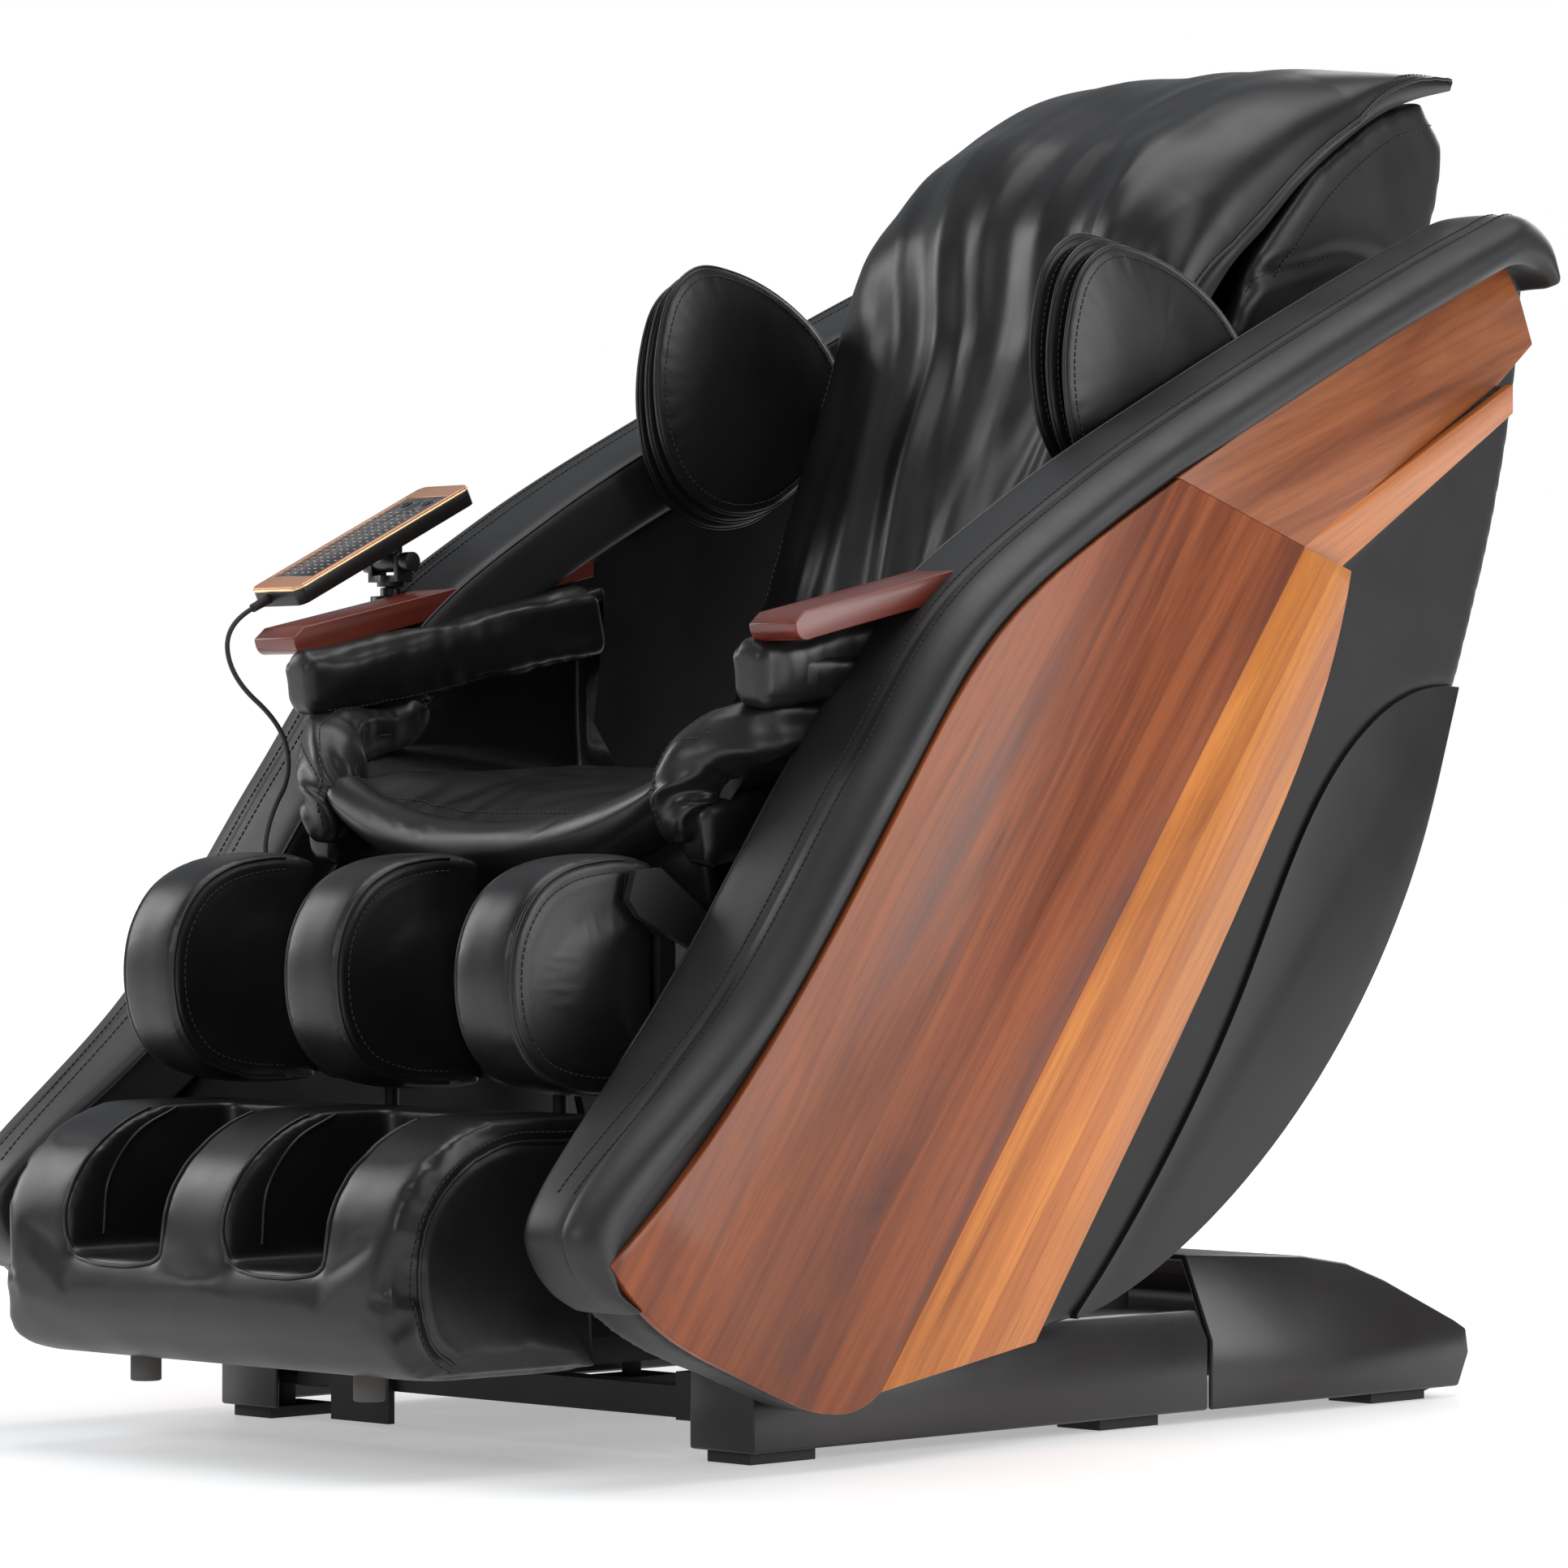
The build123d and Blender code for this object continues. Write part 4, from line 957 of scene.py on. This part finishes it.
def seat_section(u):
    """The closed outline at u, from -1 to 1 across the seat, as (y, z) points."""
    bend = abs(u) ** BEND_POWER
    front = SEAT_FRONT + SEAT_BEND * bend
    top, low = 0.5255 + 0.046 * bend, 0.477 + 0.058 * bend
    half = (top - low) / 2
    roll = [(front + 0.046, low - 0.012), (front + 0.022, low - 0.002), (front + 0.007, low + 0.35 * half),
            (front, low + 1.0 * half), (front + 0.005, top - 0.55 * half), (front + 0.017, top - 0.10 * half),
            (front + 0.032, top), (front + SEAM_BACK, top - 0.0055)]
    seam = roll[-1]
    side = 0.024 * abs(u) ** 3
    deck = [(seam[0] + 0.008, seam[1] + 0.001), (-0.270, max(seam[1] + 0.006, 0.536 + side)),
            (-0.190, 0.548 + side), (-0.100, 0.558 + side * 0.7), (-0.020, 0.566 + side * 0.4),
            (0.028, 0.568), (0.048, 0.556), (0.051, 0.530), (0.051, 0.480), (0.045, 0.448)]
    under = [(-0.05, 0.4465), (-0.20, 0.4465), (-0.29, 0.4465), (front + 0.050, low - 0.016)]
    return np.vstack([smooth_line(roll, 46), smooth_line([seam] + deck, 60)[1:],
                      even_line([deck[-1]] + under + [roll[0]], 40)[1:-1]])


rings = []
for i in range(SEAT_SECTIONS + 1):
    u = -1 + 2 * i / SEAT_SECTIONS
    section = seat_section(u)
    middle = section.mean(0)
    close = max(0.0, (abs(u) - 0.93) / 0.07)
    shrink = 1 - 0.10 * (1 - math.sqrt(max(0.0, 1 - close ** 2)))
    rings.append([(u * SEAT_HALF, *p) for p in middle + (section - middle) * (shrink, shrink)])
seat_pad = loft("seat_cushion_top", rings, LEATHER)
spots = points_of(seat_pad)
u = spots[:, 0] / SEAT_HALF
seam_y = SEAT_FRONT + SEAT_BEND * np.abs(u) ** BEND_POWER + SEAM_BACK
seam_held = np.exp(-((spots[:, 1] - seam_y) / 0.004) ** 2) * (spots[:, 2] > 0.51)
under_held = ((spots[:, 2] < 0.462) | (spots[:, 1] > 0.04)).astype(float)
side_held = (np.abs(u) > 0.985).astype(float)
inflate(seat_pad, 2.2, 0.007, np.maximum.reduce([seam_held, under_held, side_held]), 0.002)
refined(seat_pad)
beside_seam = [(x * SEAT_HALF, -0.327 + SEAT_BEND * abs(x) ** BEND_POWER + 0.006, 0.60)
               for x in np.linspace(-0.94, 0.94, 90)]
stitch("seat", laid_on(seat_pad, beside_seam, 0.0004))
ride(seat_pad, "seat", "black_leather", "seat_cushion", fill=0.75)

# %% [markdown]
# ## Arm sleeves
# Under each armrest a padded sleeve wraps the forearm.  From the front it shows as a soft
# C-shaped hem that runs from the armrest down into the deep corner and forward to the seat.

# %% Paths of the soft tubes at the arms
HEM_PATH = [(0.282, -0.290, 0.645), (0.283, -0.240, 0.647), (0.284, -0.205, 0.641), (0.284, -0.190, 0.628),
            (0.280, -0.203, 0.614), (0.270, -0.240, 0.604), (0.262, -0.278, 0.598), (0.250, -0.308, 0.590),
            (0.234, -0.322, 0.578), (0.224, -0.332, 0.556), (0.221, -0.337, 0.530), (0.223, -0.335, 0.506)]
HEM_RADIUS = [0.016, 0.021, 0.023, 0.023, 0.022, 0.022, 0.025, 0.028, 0.029, 0.028, 0.024, 0.014]
CUFF_PATH = [(0.281, -0.322, 0.644), (0.279, -0.280, 0.650), (0.279, -0.180, 0.667), (0.280, -0.080, 0.687),
             (0.281, 0.036, 0.709)]
CUFF_RADIUS = [0.027, 0.031, 0.032, 0.033, 0.033]
WING_PATH = [(0.2335, -0.338, 0.512), (0.2335, -0.270, 0.524), (0.2335, -0.100, 0.536),
             (0.2335, 0.047, 0.538)]
WING_RADIUS = [0.028, 0.028, 0.029, 0.029]
SLEEVE_REAR = [(0.262, 0.040, 0.728), (0.285, 0.040, 0.727), (0.299, 0.040, 0.712), (0.301, 0.040, 0.660),
               (0.300, 0.040, 0.600), (0.294, 0.040, 0.566), (0.276, 0.040, 0.556), (0.250, 0.040, 0.556),
               (0.232, 0.040, 0.552), (0.222, 0.040, 0.535), (0.220, 0.040, 0.520), (0.221, 0.040, 0.506)]


def for_side(path, sign):
    return [(sign * x, y, z) for x, y, z in path]


def tube(name, path, radii, around, gather, sag, flat=1.0, square=1.0, count=200):
    """A soft tube of changing thickness along a path. gather is fine creases, sag broad folds."""
    line = smooth_line(path, count)
    size = np.interp(np.linspace(0, 1, count), np.linspace(0, 1, len(radii)), radii)
    up = np.array((0.0, 0.3, 1.0))
    rings = []
    for i, (spot, way, radius) in enumerate(zip(line, directions(line), size)):
        side = np.cross(way, up)
        side /= np.linalg.norm(side)
        high = np.cross(side, way)
        end = min(1.0, 0.25 + min(i, count - 1 - i) / 9)
        ring = []
        for j in range(around):
            turn = 2 * math.pi * j / around
            where = np.array((math.cos(turn), math.sin(turn)))
            broad = noise.noise(Vector((i * 0.024 + 7, *(where * 1.5))))
            fine = noise.noise(Vector((i * 0.10 + where[0] * 1.1, *(where * 1.2))))
            reach = radius * math.sqrt(1 - (1 - end) ** 2) * (1 + sag * broad + gather * fine)
            full = np.sign(where) * np.abs(where) ** square
            ring.append(tuple(spot + side * full[0] * reach * flat + high * full[1] * reach))
        rings.append(ring)
    return refined(loft(name, rings, LEATHER))


# %% The sleeve behind the hem: a soft channel with a thick upper cuff
CHANNEL_ACROSS, CHANNEL_ALONG = 90, 60
CHANNEL_WALL, CHANNEL_SIDE = 0.012, 0.3045


def make_channel(name, sign):
    near, far = smooth_line(HEM_PATH, CHANNEL_ACROSS), smooth_line(SLEEVE_REAR, CHANNEL_ACROSS)
    order = np.arange(CHANNEL_ACROSS)
    rings = []
    for t in np.linspace(0, 1, CHANNEL_ALONG):
        line = near * (1 - t) + far * t
        line[:, 0] += 0.014 * math.sin(math.pi * t) * np.interp(order, [0, 30, 50, 89], [0, 1, 1, 0])
        line[:, 2] += 0.0035 * np.array([noise.noise(Vector((k * 0.07, t * 5, 2.2))) for k in order])
        along = np.gradient(line[:, [0, 2]], axis=0)
        along /= np.linalg.norm(along, axis=1, keepdims=True) + 1e-9
        back = line.copy()
        back[:, 0] = np.minimum(line[:, 0] + CHANNEL_WALL * np.abs(along[:, 1]), CHANNEL_SIDE)
        back[:, 2] += np.where(order < 40, CHANNEL_WALL, -CHANNEL_WALL)
        rings.append(for_side(np.vstack([line, back[::-1]]), sign))
    return refined(loft(name, rings, LEATHER))


for side, sign in SIDES.items():
    channel = make_channel(f"arm_sleeve_skin_{side}", sign)
    ride(channel, "seat", "black_leather", f"arm_sleeve_{side}", fill=0.5)
    cuff = tube(f"arm_cuff_{side}", for_side(CUFF_PATH, sign), CUFF_RADIUS,
                around=48, gather=0.05, sag=0.16, flat=0.74, square=0.62)
    ride(cuff, "seat", "black_leather", fill=0.5)
    lower = [(sign * 0.262, y, z - 0.026) for _, y, z in smooth_line(CUFF_PATH, 60)[4:-4]]
    stitch("seat", laid_on(cuff, lower, 0.0002))
    hem = tube(f"arm_hem_{side}", for_side(HEM_PATH, sign), HEM_RADIUS,
               around=40, gather=0.06, sag=0.22, square=0.8)
    ride(hem, "seat", "black_leather", fill=0.5)
    for drop in (0.75, 0.35):
        crease = [(sign * (x - 0.5 * r), y - 0.9 * r, z - (drop - 0.6) * 2 * r)
                  for (x, y, z), r in zip(HEM_PATH, HEM_RADIUS)]
        stitch("seat", laid_on(hem, smooth_line(crease, 120)[6:-8], 0.0002))
    pad = tube(f"seat_wing_{side}", for_side(WING_PATH, sign), WING_RADIUS,
               around=40, gather=0.05, sag=0.12, flat=0.70, square=0.62)
    ride(pad, "seat", "black_leather", *(["seat_side_pads"] if sign > 0 else []), fill=0.6)

# %% [markdown]
# ## Backrest
# One long pad hangs from the top of the head down to the seat.  It is loose over the
# rollers, so soft folds fan out from the waist to the shoulders.  The folds are a rule on
# two coordinates of the pad, across and along, so the form is a grid that is pushed out.

# %% Backrest coordinates
LEAN = math.radians(22.8)
HINGE_Y, HINGE_Z = 0.060, 0.470


def back_point(x, depth, height):
    """A point in the backrest's own directions, from its hinge."""
    return (x, HINGE_Y + depth * math.cos(LEAN) + height * math.sin(LEAN),
            HINGE_Z - depth * math.sin(LEAN) + height * math.cos(LEAN))


# %% Back pad: its front and rear as (depth, height), and the room its rear leaves the rollers
PAD_FRONT = [(0.000, 0.062), (-0.004, 0.180), (-0.004, 0.300), (-0.003, 0.420), (0.000, 0.538),
             (-0.022, 0.650), (0.000, 0.730), (0.042, 0.786), (0.095, 0.846), (0.160, 0.893),
             (0.222, 0.920), (0.284, 0.936)]
PAD_REAR = [(0.044, 0.062), (0.044, 0.180), (0.044, 0.300), (0.044, 0.420), (0.046, 0.538), (0.070, 0.632),
            (0.100, 0.690), (0.128, 0.748), (0.165, 0.806), (0.205, 0.858), (0.243, 0.893), (0.288, 0.926)]
ROOM_HEIGHTS = (0.0, 0.500, 0.530, 0.630, 0.670, 0.735, 0.790)
ROOM_DEPTHS = (0.044, 0.044, 0.037, 0.019, 0.019, 0.045, 0.088)
ROOM_HALF, ROOM_EDGE = 0.148, 0.018
# Three sets of folds: pitch, size, seed and sway.
FOLDS = ((1.55, 0.0085, 3.1, 0.9), (2.7, 0.0050, 8.7, 1.1), (4.9, 0.0020, 5.3, 1.2))
FOLD_STRENGTH = ([0, 0.12, 0.35, 0.60, 0.76, 0.88, 1.0], [0.5, 0.9, 1.0, 0.95, 0.6, 0.2, 0.02])
PAD_HALF = ([0, 0.1, 0.5, 0.75, 1], [0.200, 0.207, 0.209, 0.213, 0.214])
EDGE_DROP = ([0, 0.5, 0.62, 0.85, 1], [0.55, 0.60, 0.86, 0.86, 0.3])
PAD_ROWS, PAD_ACROSS = 300, 112


def fold_height(u, t):
    """How far the leather stands proud at u across and t along the pad."""
    fan = u / (0.45 + 0.55 * min(1.0, t * 1.1))
    height = 0.0
    for pitch, size, seed, sway in FOLDS:
        drift = noise.noise(Vector((fan * 0.9 + seed, t * 2.3, seed)))
        depth = 0.35 + 1.5 * max(0.0, 0.35 + noise.noise(Vector((fan * 1.7, t * 3.1 + seed, seed * 2))))
        wave = math.cos(2 * math.pi * (pitch * fan / 2 + sway * drift) + seed)
        ridge = wave if wave < 0 else wave ** 1.6
        height += 0.85 * size * depth * ridge
    hollow = 0.004 * noise.noise(Vector((u * 1.4, t * 4, 1.7)))
    return height * np.interp(t, *FOLD_STRENGTH) * (1 - abs(u) ** 6) + hollow


def rear_depth(x, depth, height):
    """The depth of the pad's rear, which leaves room for the rollers in its middle."""
    if height >= ROOM_HEIGHTS[-1]:
        return depth
    room = np.interp(height, ROOM_HEIGHTS, ROOM_DEPTHS)
    share = min(1.0, max(0.0, (abs(x) - ROOM_HALF) / ROOM_EDGE))
    return depth * share + min(depth, room) * (1 - share)


def make_back_pad():
    front, rear = smooth_line(PAD_FRONT, PAD_ROWS), smooth_line(PAD_REAR, PAD_ROWS)
    ahead = directions(front)
    out = np.stack([-ahead[:, 1], ahead[:, 0]], axis=1)
    rings, edges = [], {1: [], -1: []}
    for i in range(PAD_ROWS):
        t = i / (PAD_ROWS - 1)
        half = np.interp(t, *PAD_HALF)
        thick = np.linalg.norm(rear[i] - front[i])
        drop = thick * np.interp(t, *EDGE_DROP)
        ring = []
        for j in range(PAD_ACROSS + 1):
            u = -1 + 2 * j / PAD_ACROSS
            u = math.copysign(abs(u) ** 0.85, u)
            round_off = 1 - (1 - abs(u) ** 3.2) ** 0.45
            lift = fold_height(u, t) if t < 0.995 else 0
            spot = front[i] + (rear[i] - front[i]) / thick * (drop * round_off)
            spot = spot + out[i] * lift * (thick > 0.012)
            ring.append(back_point(u * half, *spot))
        edges[-1].append(ring[0])
        edges[1].append(ring[-1])
        depth, height = rear[i] - out[i] * 0.001
        ring += [back_point(x, rear_depth(x, depth, height), height)
                 for x in np.linspace(0.985, -0.985, 27) * half]
        rings.append(ring)
    return loft("back_cushion", rings, LEATHER), edges


back_pad, pad_edges = make_back_pad()
for sign, row in pad_edges.items():
    welt("backrest", laid_on(back_pad, row[4:-1], 0.0008))
    inside = [(x - sign * 0.010, y, z) for x, y, z in row[4:-2]]
    stitch("backrest", laid_on(back_pad, inside, 0.0004))
ride(back_pad, "backrest", "black_leather", "back_pad", fill=0.45)

# %% Back cover: a sunk seam on each side, and a row of stitches along the pad
COVER_HALF = 0.215
COVER_SEAM = [(0.09, 0.630), (0.16, 0.680), (0.22, 0.720), (0.33, 0.730)]
COVER_ROW = [(0.115, 0.655), (0.158, 0.762), (0.216, 0.845), (0.262, 0.884)]


def cover_line(sign, places):
    return smooth_line([back_point(sign * COVER_HALF, *place) for place in places], 60)


cover = soft_copy("back_shell_skin", "back_cover", LEATHER, 0.009, 5)
for sign in (-1, 1):
    row = laid_on(cover, cover_line(sign, COVER_SEAM), 0.0)
    sink(cover, row, 0.004, 0.007)
    stitch("backrest", laid_on(cover, row, 0.0005))
refined(cover)
for sign in (-1, 1):
    stitch("backrest", laid_on(cover, cover_line(sign, COVER_ROW) + (0, 0.012, -0.006), 0.0005))
ride(cover, "backrest", "black_leather", "back_cover", fill=0.9)

# %% [markdown]
# ## Shoulder air cells
# Three leaves stand side by side on a hinge at each shoulder.  One leaf is blown up from a
# thin plate with its rim held, and the others are copies beside it.

# %% Shoulder leaves
LEAF = [(0.060, 0.430), (0.022, 0.380), (-0.028, 0.352), (-0.082, 0.350), (-0.124, 0.374), (-0.152, 0.412),
        (-0.169, 0.460), (-0.171, 0.512), (-0.150, 0.546), (-0.104, 0.563), (-0.040, 0.568), (0.020, 0.557),
        (0.060, 0.532), (0.070, 0.482)]
LEAF_MIDDLE = np.array((-0.055, 0.465))
LEAF_SHARES = [0.02, 0.15, 0.3, 0.45, 0.6, 0.74, 0.86, 0.94, 0.985, 1.0]
LEAF_PLACES = (0.2345, 0.2505, 0.2665)      # x of the three leaves
LEAF_SLIP = (0.006, -0.004)                 # depth and height from one leaf to the next


def make_leaf():
    edge = smooth_line(LEAF + [LEAF[0]], 121)[:-1]
    rings = []
    for side, shares in ((-1, LEAF_SHARES), (1, LEAF_SHARES[::-1])):
        for share in shares:
            x = side * 0.0062 * (1 - share ** 6) ** 0.5 + side * 0.0012
            rings.append([back_point(x, *(LEAF_MIDDLE + (p - LEAF_MIDDLE) * share)) for p in edge])
    return loft("leaf", rings, LEATHER), [back_point(0, *p) for p in np.vstack([edge, edge[:1]])]


leaf, leaf_rim = make_leaf()
gap = nearest_gap(points_of(leaf), even_line(leaf_rim, 400))
inflate(leaf, 4.0, 0.0035, np.exp(-(gap / 0.006) ** 2), 0.001)
refined(leaf)
leaf_points, leaf_rim = points_of(leaf).copy(), np.array(leaf_rim)
inside = (leaf_rim - leaf_rim.mean(0)) * 0.93 + leaf_rim.mean(0)
ring_stitch = [np.array(laid_on(leaf, [(sign * 0.008, y, z) for _, y, z in inside], 0.0003))
               for sign in (-1, 1)]
for side, sign in SIDES.items():
    for number, x in enumerate(LEAF_PLACES):
        made = shown(f"shoulder_leaf_{side}_{number + 1}", leaf.data.copy())
        slip = Vector(back_point(0, *((number - 1) * way for way in LEAF_SLIP))) - Vector(back_point(0, 0, 0))
        flip, move = (sign, 1, 1), (sign * x, *slip.yz)
        set_points(made, leaf_points * flip + move)
        if sign < 0:
            made.data.flip_normals()
        ride(made, f"airbag_{side}", "black_leather",
             *([f"shoulder_airbag_{side}"] if number == 0 else []), fill=0.7)
        welt(f"airbag_{side}", leaf_rim * flip + move)
        for row in ring_stitch:
            stitch(f"airbag_{side}", row * flip + move)
bpy.data.objects.remove(leaf)

# %% [markdown]
# ## Seams
# All the lines gathered above become threads and welts now, one mesh for each body.

# %% Stitches and welts for each body
for body, lines in stitch_lines.items():
    ride(grow(STITCHES, f"stitches_{body}", lines, THREAD), body, "black_leather")
for body, lines in welt_lines.items():
    ride(grow(WELTS, f"welts_{body}", lines, LEATHER, Radius=0.0017), body, "black_leather")

# %% [markdown]
# ## Floor base and remote
# Hard mouldings keep their solids' shape, so they get dressed copies with eased edges.

# %% Base covers and small hard parts
for node, finish, slot, body, ease in (
        ("base_side_cover_left", BASE_PLASTIC, "black_plastic", "base", 0.0035),
        ("base_side_cover_right", BASE_PLASTIC, "black_plastic", "base", 0.0035),
        ("base_rear_cover", BASE_PLASTIC, "black_plastic", "base", 0.0035),
        ("foot_pads", RUBBER, "rubber", "base", 0.0015),
        ("foot_rubbers", GREY_RUBBER, "rubber", "foot_unit", 0.0015),
        ("transport_wheels", RUBBER, "rubber", "wheels", 0.002),
        ("power_inlet", SATIN_PLASTIC, "black_plastic", "base", 0.0006),
        ("power_switch", SATIN_PLASTIC, "black_plastic", "switch", 0.0006),
        ("remote_body", SATIN_PLASTIC, "black_plastic", "remote", 0.0008),
        ("remote_bezel", COPPER_TRIM, "copper_trim", "remote", 0.0006),
        ("remote_keypad", GLOSS_BLACK, "gloss_black", "remote", 0.0003),
        ("remote_stand", SATIN_PLASTIC, "black_plastic", "seat", 0.001),
        ("remote_yoke", SATIN_PLASTIC, "black_plastic", "remote_yoke", 0.0008),
        ("power_key", GLOSS_BLACK, "gloss_black", "power_key", 0.0005),
        ("pause_key", GLOSS_BLACK, "gloss_black", "pause_key", 0.0005)):
    ride(dressed_copy(f"{node}_skin", node, finish, ease), body, slot, node)

# %% [markdown]
# The remote's face carries rows of small pale key marks, a fine gold line runs round its
# edge, and its cord leaves through a ribbed rubber sleeve.  The seam trees make these too.

# %% Small parts of the remote
REMOTE_AT, REMOTE_TILT = Vector((-0.360, -0.176, 0.783)), math.radians(25.5)
ROW_PITCH, MARK_LENGTH = 0.0085, 0.010
MARK_STARTS = (-0.0235, -0.0045, 0.0135)
HALF_W, HALF_L, CORNER, LINE_DEPTH = 0.0328, 0.1158, 0.009, -0.0028
RIBS, RIB_PITCH, RIB_SIZE, RIB_SHRINK = 8, 0.0024, 0.0041, 0.00012
RIB_X, RIB_Y, RIB_Z = -0.012, -0.1172, -0.0105


def remote_point(x, y, z):
    """A point in the remote's own directions, from the middle of its face, in metres."""
    c, s = math.cos(REMOTE_TILT), math.sin(REMOTE_TILT)
    return (REMOTE_AT.x + x, REMOTE_AT.y + y * c - z * s, REMOTE_AT.z + y * s + z * c)


rows = [[remote_point(x, y, 0.0), remote_point(x + MARK_LENGTH, y, 0.0)]
        for y in np.arange(-0.082, 0.062, ROW_PITCH) for x in MARK_STARTS]
marks = grow(STITCHES, "key_marks", rows, PALE_PRINT,
             **{"Spacing": 0.005, "Thread radius": 0.00045, "Stitch length": 0.0034})
ride(marks, "remote", "copper_trim")
rim = []
for x, y, start in ((1, 1, 0), (-1, 1, 90), (-1, -1, 180), (1, -1, 270)):
    for turn in np.radians(np.linspace(start, start + 90, 9)):
        rim.append(remote_point(x * (HALF_W - CORNER) + CORNER * math.cos(turn),
                                y * (HALF_L - CORNER) + CORNER * math.sin(turn), LINE_DEPTH))
edge = grow(WELTS, "gold_line", [rim + rim[:1]], GOLD_EDGE, Radius=0.0011, Step=0.003)
ride(edge, "remote", "copper_trim")
rings = []
for i in range(RIBS):
    size = RIB_SIZE - RIB_SHRINK * i
    rings.append([remote_point(RIB_X + size * math.cos(t), RIB_Y - RIB_PITCH * i, RIB_Z + size * math.sin(t))
                  for t in np.linspace(0, 2 * math.pi, 17)])
sleeve = grow(WELTS, "strain_ribs", rings, RUBBER, Radius=0.0008, Step=0.0012)
ride(sleeve, "remote", "rubber")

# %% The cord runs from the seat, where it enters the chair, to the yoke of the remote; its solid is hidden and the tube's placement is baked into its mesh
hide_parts("remote_cord")
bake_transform(flex)
